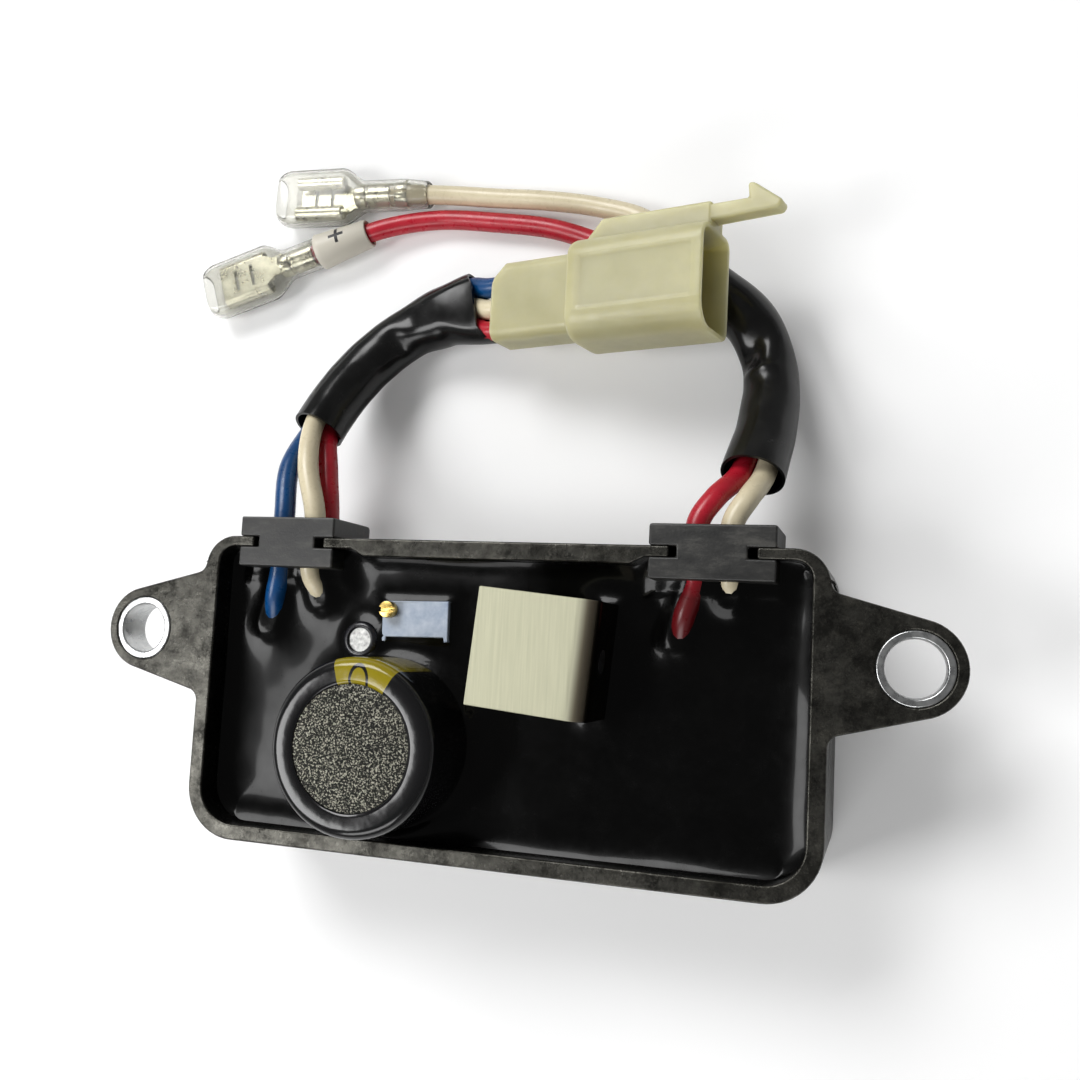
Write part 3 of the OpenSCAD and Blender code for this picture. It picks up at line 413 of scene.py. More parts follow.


# Heat sink: a strip of aluminium sheet, sawn to width and bent down at one end. The rolled face is
# matt with faint drawn lines along the sheet. The bend and the leg are painted dark, brown to near
# black, as painted shade, and are made smoother and more metallic there.
leg_place, leg_size, sink_askew, sink_edge = (0.01447, 0.0047), (0.0020, 0.0145), -4.8, 0.00018


def sheet_finish():
    made, tree, shader = material("sink_aluminium")
    axes = place_axes(tree, (*leg_place, 0), math.radians(sink_askew))
    # Painted shade: across the bend and the leg the colour runs to brown and near black. The same mask
    # makes the leg smoother and more metallic.
    leg_shade_and_polish = ranged(tree, axes["X"], 0, 1, -0.0014, 0.0009, "SMOOTHSTEP")
    lines = place_noise(tree, 3000, 3, 0.6, (1, 0.03, 1))
    tone = value_of(tree, "ADD", leg_shade_and_polish, value_of(tree, "MULTIPLY", 0.1, lines))
    colour_by(tree, shader, tone, [(0.03, (0.465, 0.46, 0.33)), (0.08, (0.565, 0.557, 0.41)),
                                   (0.5, (0.26, 0.225, 0.16)), (1.0, (0.05, 0.041, 0.030))])
    range_by(tree, leg_shade_and_polish, shader.inputs["Metallic"], 0.5, 1.0, 0, 1)
    range_by(tree, leg_shade_and_polish, shader.inputs["Roughness"], 0.6, 0.25, 0, 1)
    relief(tree, shader, lines, 0.00001, 0.35)
    return made


softened("heat_sink", "heat_sink_sheet", sink_edge, sheet_finish())


# Potting: black epoxy poured round the parts. It has set with a glossy, slightly wavy face that
# climbs the walls and whatever stands in it.
def round_wall(y, front, back, front_r, back_r, half):
    """Half the inside width of the tray at a depth."""
    if y < front + front_r:
        return half - front_r + math.sqrt(max(front_r ** 2 - (front + front_r - y) ** 2, 0))
    if y > back - back_r:
        return half - back_r + math.sqrt(max(back_r ** 2 - (y - back + back_r) ** 2, 0))
    return half


def box_gap(x, y, place, size, askew):
    """Distance from a point to an upright block that stands askew."""
    a = math.radians(askew)
    dx, dy = x - place[0], y - place[1]
    u = abs(dx * math.cos(a) + dy * math.sin(a)) - size[0] / 2
    v = abs(dy * math.cos(a) - dx * math.sin(a)) - size[1] / 2
    return math.hypot(max(u, 0), max(v, 0)) if max(u, v) > 0 else max(u, v)


def rod_gap(x, y, start, end, r):
    """Distance from a point to a round rod that leaves the potting at a slant, seen from above."""
    ax, ay = end[0] - start[0], end[1] - start[1]
    t = min(max(((x - start[0]) * ax + (y - start[1]) * ay) / (ax * ax + ay * ay), 0), 1)
    return math.hypot(x - start[0] - t * ax, y - start[1] - t * ay) - r


def potting_mesh():
    half, front, back, top, bottom = 0.040, -0.01975, 0.01775, 0.0152, 0.002
    front_r, back_r, pad, pad_half = 0.0049, 0.0022, 0.00095, 0.020
    columns, rows, highest, wire_r = 190, 96, 0.0021, 0.00145
    wire_ends = (((-0.0340, 0.0075), (-0.0322, 0.0147), 0.0010),
                 ((-0.0262, 0.0113), (-0.0274, 0.0147), 0.0010),
                 ((0.0237, 0.0080), (0.0257, 0.0147), 0.0010),
                 ((0.0298, 0.0132), (0.0300, 0.0147), 0.0012))
    flanges = (((-0.0298, 0.01505), (0.0144, 0.0027)), ((0.0281, 0.01505), (0.0155, 0.0027)))

    def eased(t):
        return t - 0.13 * math.sin(2 * math.pi * t)

    def climb(gap, rise, reach):
        return rise * math.exp(-max(gap, 0) / reach)

    grid = []
    for j in range(rows + 1):
        nominal = front + (back - front) * eased(j / rows)
        wide = round_wall(nominal, front, back, front_r, back_r, half)
        line = []
        for i in range(columns + 1):
            x = wide * (2 * eased(i / columns) - 1)
            ramp = min(max((pad_half - abs(x)) / (2 * pad), 0), 1)
            rear = back - pad * ramp
            y = front + (nominal - front) * (rear - front) / (back - front)
            side = wide - abs(x)
            z = top + 0.0002 * noise.noise((x * 90, y * 90, 3))
            z += 0.00003 * noise.noise((x * 260, y * 260, 8))
            z += climb(min(side, y - front, rear - y), 0.0012, 0.0021)
            for middle, r, rise, reach in ((capacitor_place, capacitor_r, 0.0013, 0.0016),
                                           (small_place, small_r, 0.0008, 0.0010)):
                z += climb(math.hypot(x - middle[0], y - middle[1]) - r, rise, reach)
            z += climb(box_gap(x, y, trimmer_place, trimmer_size, trimmer_askew), 0.0006, 0.0010)
            z += climb(box_gap(x, y, leg_place, leg_size, sink_askew), 0.0008, 0.0013)
            for start, end, rise in wire_ends:
                z += climb(rod_gap(x, y, start, end, wire_r), rise, 0.0016)
            for middle, size in flanges:
                z += climb(box_gap(x, y, middle, size, 0), 0.0006, 0.0012)
            line.append((x, y, min(z, top + highest)))
        grid.append(line)
    points = [p for line in grid for p in line]
    wide = columns + 1
    faces = [(j * wide + i, j * wide + i + 1, (j + 1) * wide + i + 1, (j + 1) * wide + i)
             for j in range(rows) for i in range(columns)]
    rim = list(range(wide)) + [j * wide + columns for j in range(1, rows + 1)]
    rim += [rows * wide + i for i in range(columns - 1, -1, -1)]
    rim += [j * wide for j in range(rows - 1, 0, -1)]
    base = len(points)
    points += [(points[k][0], points[k][1], bottom) for k in rim]
    count = len(rim)
    faces += [(rim[k], base + k, base + (k + 1) % count, rim[(k + 1) % count]) for k in range(count)]
    faces.append([base + k for k in range(count - 1, -1, -1)])
    return points, faces


def resin_finish():
    made, tree, shader = material(
        "potting_resin", Specular_IOR_Level=0.1, Coat_Weight=0.16, Coat_Roughness=0.07)
    haze = place_noise(tree, 150, 5, 0.6)
    colour_by(tree, shader, haze, [(0.3, (0.0005, 0.0005, 0.0005)), (0.75, (0.0014, 0.0014, 0.0013))])
    range_by(tree, place_noise(tree, 420, 7, 0.75), shader.inputs["Roughness"], 0.16, 0.3)
    relief(tree, shader, place_noise(tree, 240, 3), 0.00004, 0.4)
    return made


potting = mesh_piece("potting_fill", *potting_mesh())
potting.data.set_sharp_from_angle(angle=math.radians(60))
fitted(potting, resin_finish(), "potting")


# Cable grommets: dark rubber, moulded with two flanges and a neck, pushed down into the notches
# of the back wall. The wires pass through holes that grip them.
def rubber_finish():
    made, tree, shader = material("grommet_rubber", Specular_IOR_Level=0.6)
    bloom = place_noise(tree, 330, 7, 0.72, (0.6, 1.5, 1))
    colour_by(tree, shader, bloom, [(0.36, (0.005, 0.005, 0.005)), (0.52, (0.013, 0.0128, 0.0115)),
                                    (0.7, (0.050, 0.048, 0.042))])
    range_by(tree, bloom, shader.inputs["Roughness"], 0.36, 0.5)
    relief(tree, shader, place_noise(tree, 3000, 4), 0.00004, 0.6)
    return made


rubber, grommet_edge = rubber_finish(), 0.0003
for side in ("left", "right"):
    softened(f"{side}_grommet", f"{side}_grommet_rubber", grommet_edge, rubber)


# Plug housing: natural nylon, moulded in one piece with an open shroud for the mating plug, a rail
# along one side and a springy latch arm that ends in a hook. Three brass contacts stand inside.
def nylon_finish():
    made, tree, shader = material(
        "plug_nylon", Subsurface_Weight=1.0, Subsurface_Scale=0.004, Subsurface_Radius=(1.0, 0.95, 0.7),
        Specular_IOR_Level=0.5)
    cloud = place_noise(tree, 160, 4, 0.5)
    colour_by(tree, shader, cloud, [(0.3, (0.405, 0.380, 0.215)), (0.7, (0.475, 0.450, 0.27))])
    range_by(tree, place_noise(tree, 900, 3), shader.inputs["Roughness"], 0.34, 0.46)
    relief(tree, shader, place_noise(tree, 700, 3), 0.00003, 0.4)
    return made


def round_ring(low, high, radii, steps=7, extra=()):
    """Points round a rectangle with round corners: radii from the upper right corner on. Extra points
    on the upper side are given as a place across and a drop."""
    ring = []
    corners = ((high[0], high[1], 0), (low[0], high[1], 90),
               (low[0], low[1], 180), (high[0], low[1], 270))
    for (x, y, start), r in zip(corners, radii):
        cx = x - math.copysign(r, x - (low[0] + high[0]) / 2)
        cy = y - math.copysign(r, y - (low[1] + high[1]) / 2)
        for k in range(steps + 1):
            a = math.radians(start + 90 * k / steps)
            ring.append((cx + r * math.cos(a), cy + r * math.sin(a)))
        if start == 0:
            ring += [(across, y - drop) for across, drop in extra]
    return ring


def lofted(name, rings):
    """A closed skin through rings of the same number of points, with flat ends."""
    count = len(rings[0])
    points = [p for ring in rings for p in ring]
    faces = [tuple(range(count - 1, -1, -1)), tuple((len(rings) - 1) * count + k for k in range(count))]
    for i in range(len(rings) - 1):
        for k in range(count):
            n = (k + 1) % count
            faces.append((i * count + k, i * count + n, (i + 1) * count + n, (i + 1) * count + k))
    return mesh_piece(name, points, faces)


def cut_and_joined(piece, added, removed):
    """Applies the pieces that are moulded on and the ones that are cut out, and deletes them."""
    for other, operation in [(o, "UNION") for o in added] + [(o, "DIFFERENCE") for o in removed]:
        step = piece.modifiers.new("step", "BOOLEAN")
        step.operation, step.solver, step.object = operation, "EXACT", other
        bpy.context.view_layer.update()
        made = piece.evaluated_get(bpy.context.evaluated_depsgraph_get())
        result = bpy.data.meshes.new_from_object(made)
        piece.modifiers.clear()
        piece.data = result
        bpy.data.objects.remove(other)


def plug_shell():
    place, tilt = Vector((-0.005, 0.05385, 0.0077)), math.radians(12)
    rear_length, rear_half = 0.0127, (0.0056, 0.0034)
    mouth, partition, shroud_half, shroud_wall = 0.0321, 0.0152, (0.007, 0.005), 0.0013
    panel_start, panel_end, panel_depth = 0.0145, 0.0308, 0.00028
    bore_r, bore_pitch, bore_depth, bore_sides = 0.0015, 0.0032, 0.0112, 24
    along = Vector((math.cos(tilt), 0, math.sin(tilt)))
    up = Vector((-math.sin(tilt), 0, math.cos(tilt)))

    def seat(u, ring):
        return [place + along * u + Vector((0, y, 0)) + up * z for y, z in ring]

    def rear_ring(u, inset):
        bevel = max(0.002 - u, 0)
        r = 0.0015 - inset / 2
        wide, high = rear_half[0] - inset, rear_half[1] - inset
        return seat(u, round_ring((-wide, -high), (wide - bevel, high), (r, r, r, r),
                                  extra=[(0.002, 0), (0.0017, 0), (-0.0027, 0), (-0.003, 0)]))

    def shroud_ring(u, inset, panel=0.0):
        big, small, sharp = 0.0036 - inset, 0.0026 - inset, 0.0016 - inset
        wide, high = shroud_half[0] - inset, shroud_half[1] - inset
        return seat(u, round_ring((-wide, -high), (wide, high), (small, big, sharp, sharp),
                                  extra=[(0.0042, 0), (0.0036, panel), (-0.0026, panel), (-0.0032, 0)]))

    rings = [rear_ring(u, inset) for u, inset in (
        (0, 0.0004), (0.0001, 0.0002), (0.0004, 0), (0.002, 0), (rear_length - 0.0003, 0),
        (rear_length, -0.0002))]
    for k in range(7):
        a = math.pi / 2 * k / 6
        rings.append(shroud_ring(rear_length + 0.0012 * (1 - math.cos(a)), 0.0006 * (1 - math.sin(a))))
    rings += [shroud_ring(panel_start, 0), shroud_ring(panel_start + 0.0005, 0, panel_depth),
              shroud_ring(panel_end - 0.0004, 0, panel_depth), shroud_ring(panel_end, 0)]
    rings += [shroud_ring(mouth - back, inset) for back, inset in (
        (0.0003, 0.00003), (0.0001, 0.0001), (0, 0.00025), (0, 0.0005), (0.0002, 0.0007),
        (0.0016, 0.0011), (0.0024, shroud_wall))]
    rings.append(shroud_ring(partition, shroud_wall))
    shell = lofted("plug_shell", rings)

    def moulded_bar(name, outline, low, high, edge):
        """A bar with an outline along and across the plug, between two heights, with round edges."""
        bar = bmesh.new()
        corners = [place + along * u + Vector((0, y, 0)) + up * low for u, y in outline]
        face = bar.faces.new([bar.verts.new(corner) for corner in corners])
        lifted = bmesh.ops.extrude_face_region(bar, geom=[face])["geom"]
        lifted = [v for v in lifted if isinstance(v, bmesh.types.BMVert)]
        bmesh.ops.translate(bar, vec=up * (high - low), verts=lifted)
        bmesh.ops.recalc_face_normals(bar, faces=bar.faces)
        bmesh.ops.bevel(bar, geom=list(bar.edges), offset=edge, offset_type="OFFSET", segments=3,
                        profile=0.5, affect="EDGES", clamp_overlap=True)
        mesh = bpy.data.meshes.new(name)
        bar.to_mesh(mesh)
        bar.free()
        made = bpy.data.objects.new(name, mesh)
        scene.collection.objects.link(made)
        return made

    rail = moulded_bar("latch_rail", [
        (0.0139, 0.0057), (0.0139, 0.007), (0.0164, 0.010), (0.0321, 0.010), (0.0321, 0.0062)],
        -0.00225, 0.00225, 0.0005)
    arm = moulded_bar("latch_arm", [
        (0.0290, 0.0096), (0.0369, 0.00965), (0.0367, 0.0116), (0.0375, 0.0116), (0.0413, 0.0087),
        (0.0408, 0.0078), (0.0290, 0.0074)], -0.0007, 0.0021, 0.0004)
    bores = []
    for row in (-1, 0, 1):
        turns = [2 * math.pi * k / bore_sides for k in range(bore_sides)]
        ring = [(row * bore_pitch + bore_r * math.cos(a), bore_r * math.sin(a)) for a in turns]
        bores.append(lofted("wire_bore", [seat(u, ring) for u in (-0.002, bore_depth)]))
    cut_and_joined(shell, [rail, arm], bores)
    shell.data.shade_smooth()
    shell.data.set_sharp_from_angle(angle=math.radians(48))
    even = shell.modifiers.new("even_shading", "WEIGHTED_NORMAL")
    even.keep_sharp = True
    return fitted(shell, nylon_finish(), "plug_housing")


plug = plug_shell()
dressed("plug_contacts",
        speckled("contact_brass", (0.5, 0.4, 0.2), (0.66, 0.55, 0.32), 0.35, Metallic=1.0))


# Spade terminals: tinned brass strip, folded round the wire at one end and curled along both edges
# at the other. The white one lies curls up, the red one curls down.
terminal_seats = {"red": (Vector((-0.0385, 0.06555, 0.003)), math.radians(197), -1),
                  "white": (Vector((-0.0257, 0.07415, 0.003)), math.radians(178), 1)}
terminal_edge = 0.00009


def headings(colour):
    """A terminal's place, its two level directions, along and across, and which way its curls face."""
    place, heading, face_up = terminal_seats[colour]
    along = Vector((math.cos(heading), math.sin(heading), 0))
    return place, along, Vector((-along.y, along.x, 0)), face_up


def insulation_crimp():
    """Two wings of the strip, folded round the wire's insulation until their ends meet on top."""
    place, along, across, _ = headings("white")
    outer_r, inner_r, dip, sides = 0.00182, 0.00147, 0.0002, 28
    rings = []
    for u, thin in ((-0.0028, 0.00008), (-0.0027, 0), (-0.0009, 0), (-0.0008, 0.00008)):
        ring = []
        for r, turn in ((outer_r - thin, 1), (inner_r + thin, -1)):
            for k in range(sides + 1):
                a = math.radians(98 + 344 * (k if turn > 0 else sides - k) / sides)
                reach = r - dip * max(math.sin(a), 0) ** 40
                ring.append(place + along * u
                            + (across * math.cos(a) + Vector((0, 0, math.sin(a)))) * reach)
        rings.append(ring)
    made = lofted("white_spade_crimp", rings)
    made.data.set_sharp_from_angle(angle=math.radians(40))
    made.data.materials.append(tin)
    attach(made, "regulator")
    return made


tin = speckled("terminal_tin", (0.50, 0.48, 0.38), (0.86, 0.84, 0.70), 0.3, 600, Metallic=0.8)
spades = {colour: softened(f"{colour}_terminal", f"{colour}_spade", terminal_edge, tin)
          for colour in ("red", "white")}
crimp = insulation_crimp()


# Boots: clear soft plastic, moulded round at the neck that grips the wire and flat over the
# receptacle, and pushed over each terminal before it is used.
def clear_finish():
    made, tree, shader = material("boot_clear", Transmission_Weight=0.92, IOR=1.3)
    haze = place_noise(tree, 300, 4, 0.6)
    colour_by(tree, shader, haze, [(0.3, (0.76, 0.755, 0.71)), (0.7, (0.84, 0.835, 0.79))])
    range_by(tree, haze, shader.inputs["Roughness"], 0.09, 0.17)
    relief(tree, shader, place_noise(tree, 220, 2), 0.0001, 0.2)
    return made


def boot(colour, finish, start):
    """A boot from the start of its neck to its open end."""
    place, along, across, face_up = headings(colour)
    end, wall, lip, stations = 0.0195, 0.0005, 0.0002, 61
    neck_r, grip_r, corner_r, corner_reach = 0.0024, 0.0020, 0.0013, 0.0022
    widen, flatten, sag = 0.0021, 0.0005, 0.00045

    def ring(u, inset):
        t = min(max((u - 0.0045) / 0.0042, 0), 1)
        t = t * t * (3 - 2 * t)
        grip = min(max((-0.0015 - u) / 0.0045, 0), 1)
        neck = neck_r - (neck_r - grip_r) * grip
        corner = min(max(1 - (end - u) / corner_reach, 0), 1)
        corner = corner_r * (1 - math.sqrt(1 - corner * corner))
        half = (neck + widen * t - corner - inset, neck - flatten * t - inset)
        r = min(neck - 0.0008 * t - inset, half[1] - 0.00002)
        shape = round_ring((-half[0], -half[1]), half, (r, r, r, r), 8)
        drop = face_up * 0.0001 * t - sag * grip * grip
        return [place + along * u + across * x + Vector((0, 0, z + drop)) for x, z in shape]

    run = [start + lip + (end - start - 2 * lip) * k / (stations - 1) for k in range(stations)]
    rings = [ring(start, lip)] + [ring(u, 0) for u in run] + [ring(end, lip)]
    rings += [ring(end, wall - 0.0001)] + [ring(u, wall) for u in reversed(run)]
    rings.append(ring(start, wall - 0.0001))
    count = len(rings[0])
    points = [p for one in rings for p in one]
    faces = []
    for i in range(len(rings)):
        n_ring = (i + 1) % len(rings)
        for k in range(count):
            n = (k + 1) % count
            faces.append((i * count + k, i * count + n, n_ring * count + n, n_ring * count + k))
    piece = mesh_piece(f"{colour}_boot_sleeve", points, faces)
    return fitted(piece, finish, f"{colour}_boot")


clear = clear_finish()
boots = {"red": boot("red", clear, -0.0015), "white": boot("white", clear, -0.006)}


# Marker tube: a short white plastic tube, slipped over the red wire and the neck of its boot, and
# printed with a plus.
def marker_finish():
    made, tree, shader = material("marker_white", Specular_IOR_Level=0.4)
    place, along, _, _ = headings("red")
    bar_half, bar_reach = 0.00026, 0.00125
    axes = place_axes(tree, place - along * 0.0047 + Vector((0, 0.0006, 0)), terminal_seats["red"][1])
    x, y = (value_of(tree, "ABSOLUTE", axes[k]) for k in ("X", "Y"))
    bars = []
    for thin, long in ((x, y), (y, x)):
        bars.append(value_of(tree, "MULTIPLY", value_of(tree, "LESS_THAN", thin, bar_half),
                             value_of(tree, "LESS_THAN", long, bar_reach)))
    plus = value_of(tree, "MULTIPLY", value_of(tree, "MAXIMUM", *bars),
                    value_of(tree, "GREATER_THAN", axes["Z"], 0.0))
    colour_by(tree, shader, plus, [(0.1, (0.62, 0.585, 0.50)), (0.9, (0.02, 0.02, 0.022))])
    range_by(tree, place_noise(tree, 900, 3), shader.inputs["Roughness"], 0.36, 0.5)
    relief(tree, shader, place_noise(tree, 600, 3), 0.00004, 0.4)
    return made


def marker_sleeve():
    place, heading, _ = terminal_seats["red"]
    piece = turned("marker_sleeve", [
        (0.0018, -0.0096), (0.0020, -0.0096), (0.00215, -0.00945), (0.0027, -0.0017), (0.00278, -0.0010),
        (0.0027, -0.0009), (0.0025, -0.0009), (0.00243, -0.0011), (0.00243, -0.0018), (0.00175, -0.0092),
        (0.0018, -0.0096)], segments=48)
    piece.data.transform(Matrix.Translation(place) @ Matrix.Rotation(heading, 4, "Z")
                         @ Matrix.Rotation(math.radians(90), 4, "Y"))
    return fitted(piece, marker_finish(), "marker_tube")


marker = marker_sleeve()


# Wires: five stranded copper wires in soft plastic. They come up through the potting, pass the
# grommets and lie on the bench: the left three go to the plug, the right two to the terminals.
wire_d = 0.0029


def smooth_route(points, step=0.0006):
    """Points along one smooth curve that passes through the route's points."""
    knots = [Vector(p) for p in points]
    knots = [2 * knots[0] - knots[1]] + knots + [2 * knots[-1] - knots[-2]]
    made = []
    for a, b, c, d in zip(knots, knots[1:], knots[2:], knots[3:]):
        t1 = (b - a).length ** 0.5
        t2 = t1 + (c - b).length ** 0.5
        t3 = t2 + (d - c).length ** 0.5
        count = max(2, round((c - b).length / step))
        for k in range(count):
            t = t1 + (t2 - t1) * k / count
            ab, bc = a.lerp(b, t / t1), b.lerp(c, (t - t1) / (t2 - t1))
            cd = c.lerp(d, (t - t2) / (t3 - t2))
            abc, bcd = ab.lerp(bc, t / t2), bc.lerp(cd, (t - t1) / (t3 - t1))
            made.append(abc.lerp(bcd, (t - t1) / (t2 - t1)))
    return made + [knots[-2]]


def wire_finish(name, dark, light, shade_colour=None):
    """Soft plastic. Given a shade colour, the wire is painted dark, as painted shade, inside the tray up to
    the grommet.
    """
    made, tree, shader = material(name, Specular_IOR_Level=0.45)
    tone, stops = place_noise(tree, 350, 4, 0.6), [(0.3, dark), (0.7, light)]
    if shade_colour:
        # Painted shade: below the grommet the wire's colour runs to the dark shade colour.
        unshaded = ranged(tree, place_axes(tree)["Y"], 0, 1, 0.0125, 0.0165)
        tone = value_of(tree, "MULTIPLY", tone, unshaded)
        stops = [(0.05, shade_colour)] + stops
    colour_by(tree, shader, tone, stops)
    range_by(tree, place_noise(tree, 1200, 3), shader.inputs["Roughness"], 0.25, 0.36)
    relief(tree, shader, place_noise(tree, 900, 3), 0.00003, 0.4)
    return made


def wire(node, finish, points):
    curve = bpy.data.curves.new(f"{node}_run", "CURVE")
    curve.dimensions = "3D"
    curve.bevel_depth = wire_d / 2
    curve.bevel_resolution = 5
    curve.use_fill_caps = True
    run = curve.splines.new("POLY")
    route = smooth_route(points)
    run.points.add(len(route) - 1)
    for point, place in zip(run.points, route):
        point.co = (*place, 1)
    piece = bpy.data.objects.new(f"{node}_run", curve)
    scene.collection.objects.link(piece)
    return fitted(piece, finish, node)


blue = wire_finish("wire_blue", (0.0016, 0.040, 0.135), (0.003, 0.06, 0.195))
white = wire_finish("wire_white", (0.64, 0.56, 0.385), (0.71, 0.63, 0.445))
reds = (0.37, 0.008, 0.019), (0.49, 0.014, 0.031)
red = wire_finish("wire_red", *reds)
# The right red wire is painted dark inside the tray, as painted shade.
shaded_red = wire_finish("wire_red_shaded", *reds, (0.10, 0.004, 0.006))
left_blue = wire("left_blue_wire", blue, [
    (-0.034, 0.00415, 0.006), (-0.034, 0.00415, 0.009), (-0.0339, 0.00675, 0.0134),
    (-0.033, 0.01095, 0.0162), (-0.0322, 0.01465, 0.0168), (-0.0322, 0.02235, 0.0168),
    (-0.0334, 0.02965, 0.0144), (-0.03275, 0.03581, 0.01024), (-0.03111, 0.04143, 0.00743),
    (-0.02749, 0.04795, 0.00458), (-0.02148, 0.0532, 0.0036), (-0.01552, 0.05609, 0.00444),
    (-0.01048, 0.05756, 0.0062), (-0.00745, 0.05705, 0.00718), (-0.00402, 0.05705, 0.00791),
    (-0.00011, 0.05705, 0.00874)])
left_white = wire("left_white_wire", white, [
    (-0.0254, 0.00875, 0.006), (-0.0254, 0.00875, 0.009), (-0.0258, 0.01035, 0.0128),
    (-0.0268, 0.01275, 0.0158), (-0.0274, 0.01465, 0.0168), (-0.0274, 0.02235, 0.0168),
    (-0.0298, 0.02965, 0.0156), (-0.03099, 0.03647, 0.01252), (-0.02932, 0.04179, 0.00974),
    (-0.02591, 0.04749, 0.00703), (-0.02056, 0.05178, 0.00601), (-0.01518, 0.0537, 0.00613),
    (-0.01, 0.05455, 0.0062), (-0.00745, 0.05385, 0.00718), (-0.00402, 0.05385, 0.00791),
    (-0.00011, 0.05385, 0.00874)])
left_red = wire("left_red_wire", red, [
    (-0.0288, 0.00875, 0.006), (-0.0288, 0.00875, 0.007), (-0.0287, 0.01015, 0.0088),
    (-0.0281, 0.01235, 0.0114), (-0.0272, 0.01465, 0.0132), (-0.0272, 0.02235, 0.0132),
    (-0.0286, 0.02965, 0.012), (-0.02987, 0.03496, 0.01024), (-0.02837, 0.04023, 0.00743),
    (-0.0252, 0.04601, 0.00458), (-0.01976, 0.05027, 0.0036), (-0.0143, 0.05145, 0.00444),
    (-0.00952, 0.05154, 0.0062), (-0.00745, 0.05065, 0.00718), (-0.00402, 0.05065, 0.00791),
    (-0.00011, 0.05065, 0.00874)])
right_red = wire("right_red_wire", shaded_red, [
    (0.0236, 0.00415, 0.006), (0.0236, 0.00415, 0.009), (0.0236, 0.00615, 0.013),
    (0.0244, 0.01055, 0.016), (0.0257, 0.01465, 0.0162), (0.0257, 0.02235, 0.0162),
    (0.0276, 0.02575, 0.0152), (0.03017, 0.02918, 0.0124), (0.03125, 0.03625, 0.008),
    (0.03117, 0.04348, 0.0048), (0.0289, 0.04991, 0.0042), (0.02403, 0.05454, 0.0041),
    (0.01865, 0.05805, 0.0041), (0.014, 0.06135, 0.0032), (0.008, 0.06455, 0.0018),
    (0, 0.06755, 0.0016), (-0.009, 0.06915, 0.0016), (-0.018, 0.07015, 0.0017),
    (-0.0245, 0.06955, 0.0024), (-0.02932, 0.06836, 0.003), (-0.0385, 0.06555, 0.003),
    (-0.04137, 0.06467, 0.003)])
right_white = wire("right_white_wire", white, [
    (0.0294, 0.00955, 0.006), (0.0294, 0.00955, 0.0086), (0.0295, 0.01075, 0.0118),
    (0.0298, 0.01275, 0.0146), (0.03, 0.01465, 0.0162), (0.03, 0.02235, 0.0162),
    (0.0317, 0.02575, 0.0152), (0.03308, 0.02874, 0.0124), (0.0342, 0.03606, 0.008),
    (0.03408, 0.044, 0.0048), (0.03138, 0.05151, 0.0042), (0.02588, 0.05684, 0.0041),
    (0.02027, 0.06052, 0.0041), (0.0144, 0.06735, 0.0026), (0.007, 0.07035, 0.0016),
    (-0.001, 0.07195, 0.0016), (-0.009, 0.07295, 0.0016), (-0.016, 0.07375, 0.002),
    (-0.0227, 0.07405, 0.003), (-0.0287, 0.07425, 0.003)])


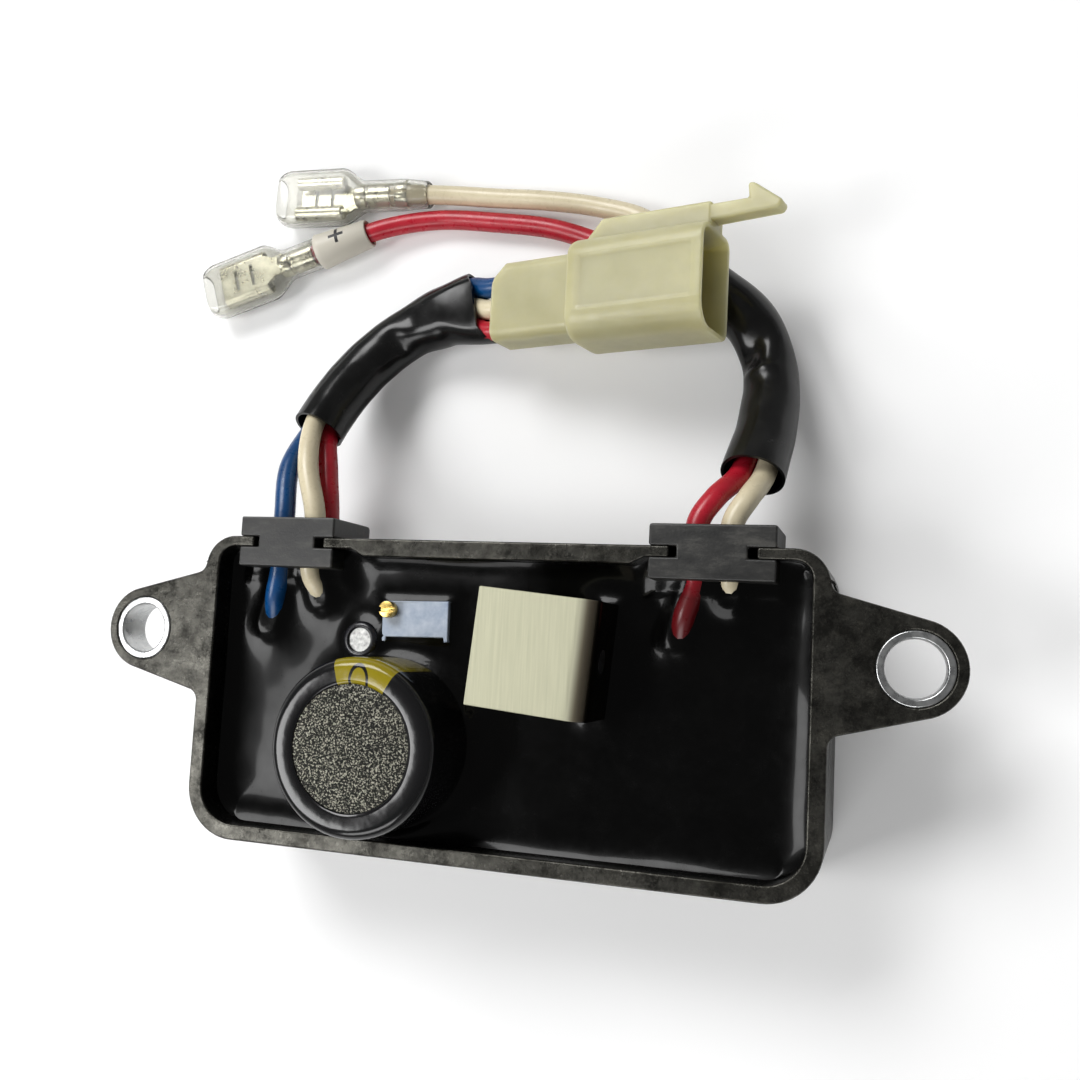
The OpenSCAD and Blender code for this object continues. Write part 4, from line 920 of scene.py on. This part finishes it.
# Lead sleeves: thin black plastic tube slipped over each bundle of wires. It creases on the inside
# of the bends, and lies flat where the three wires spread to enter the plug.
def sleeve(name, node, line, creases, slant):
    """Line entries are a point, half the flat width and the inner radius of the section. Creases are
    a place along the tube, a length, a bearing round it, a spread in degrees and a depth. The slant
    is how much further the right side of the last end reaches."""
    wall, corners, ripple, slanted_share = 0.0004, 32, 0.00007, 0.15
    middle = smooth_route([p for p, _, _ in line], 0.0005)
    lengths = [0.0]
    for a, b in zip(middle, middle[1:]):
        lengths.append(lengths[-1] + (b - a).length)
    marks = [min(range(len(middle)), key=lambda k, p=p: (middle[k] - Vector(p)).length) for p, _, _ in line]
    outer, inner = [], []
    for k, place in enumerate(middle):
        m = max(i for i in range(len(marks) - 1) if marks[i] <= k or i == 0)
        t = (k - marks[m]) / max(marks[m + 1] - marks[m], 1)
        t = t * t * (3 - 2 * t)
        flat = line[m][1] + (line[m + 1][1] - line[m][1]) * t
        r = line[m][2] + (line[m + 1][2] - line[m][2]) * t
        ahead = (middle[min(k + 1, len(middle) - 1)] - middle[max(k - 1, 0)]).normalized()
        left = Vector((-ahead.y, ahead.x, 0)).normalized()
        up = ahead.cross(left)
        share = lengths[k] / lengths[-1]
        late = max((share - 1 + slanted_share) / slanted_share, 0) ** 2
        for ring, grow in ((outer, wall), (inner, 0)):
            for c in range(corners):
                a = 2 * math.pi * (c + 0.5) / corners
                press = 0.0
                for at, width, bearing, spread, depth in creases:
                    off = a - math.radians(bearing)
                    off = math.degrees(math.atan2(math.sin(off), math.cos(off)))
                    press += depth * math.exp(-((share - at) / width) ** 2 - (off / spread) ** 2)
                press += ripple * noise.noise((share * 10, math.cos(a) * 1.3, math.sin(a) * 1.3))
                reach = r + grow - press
                stretch = slant * late * (1 - math.cos(a)) / 2
                wide = reach * math.cos(a) + math.copysign(flat, math.cos(a))
                crown = 0.25 * flat * (1 - (wide / (flat + r + grow)) ** 2) * max(math.sin(a), 0) ** 0.5
                ring.append(place + left * (wide - 0.3 * stretch) + up * (reach * math.sin(a) + crown)
                            + ahead * stretch)
    points = outer + inner
    size = len(outer)
    count = len(middle)
    faces = []
    for k in range(count - 1):
        for c in range(corners):
            n = (c + 1) % corners
            b = k * corners
            faces.append((b + c, b + n, b + corners + n, b + corners + c))
            faces.append((size + b + n, size + b + c, size + b + corners + c, size + b + corners + n))
    tail = size - corners
    for c in range(corners):
        n = (c + 1) % corners
        faces.append((n, c, size + c, size + n))
        faces.append((tail + c, tail + n, size + tail + n, size + tail + c))
    piece = mesh_piece(name, points, faces)
    piece.data.set_sharp_from_angle(angle=math.radians(60))
    return fitted(piece, sleeve_plastic, node)


def sleeve_finish():
    made, tree, shader = material("lead_sleeve_black", Specular_IOR_Level=0.32)
    haze = place_noise(tree, 320, 4, 0.6)
    colour_by(tree, shader, haze, [(0.3, (0.0035, 0.0035, 0.0035)), (0.75, (0.008, 0.008, 0.0078))])
    range_by(tree, haze, shader.inputs["Roughness"], 0.17, 0.28)
    relief(tree, shader, place_noise(tree, 300, 2), 0.0001, 0.3)
    return made


sleeve_plastic = sleeve_finish()
left_sleeve = sleeve("left_sleeve_tube", "left_sleeve", [
    ((-0.0312, 0.03575, 0.0110), 0.00001, 0.00339), ((-0.0296, 0.04115, 0.0082), 0.00001, 0.00339),
    ((-0.0262, 0.04715, 0.0054), 0.00001, 0.00339), ((-0.0206, 0.05175, 0.0044), 0.00009, 0.00331),
    ((-0.0150, 0.05375, 0.0050), 0.00126, 0.00284), ((-0.0100, 0.05455, 0.0062), 0.00305, 0.00170)],
    [(0.44, 0.06, -60, 45, 0.0007), (0.58, 0.05, 120, 35, 0.0007), (0.7, 0.08, 70, 30, 0.0005)], 0.0032)
right_sleeve = sleeve("right_sleeve_tube", "right_sleeve", [
    ((0.0317, 0.02895, 0.0124), 0.00040, 0.00335), ((0.0328, 0.03615, 0.0080), 0.00020, 0.00330),
    ((0.0327, 0.04375, 0.0048), 0.00001, 0.00325), ((0.0302, 0.05075, 0.0042), 0.00001, 0.00325),
    ((0.0250, 0.05575, 0.0041), 0.00001, 0.00325), ((0.0195, 0.05935, 0.0041), 0.00001, 0.00325)],
    [(0.50, 0.045, 40, 32, 0.0011), (0.56, 0.06, 75, 40, 0.0008), (0.42, 0.03, 70, 30, -0.0004)], 0)
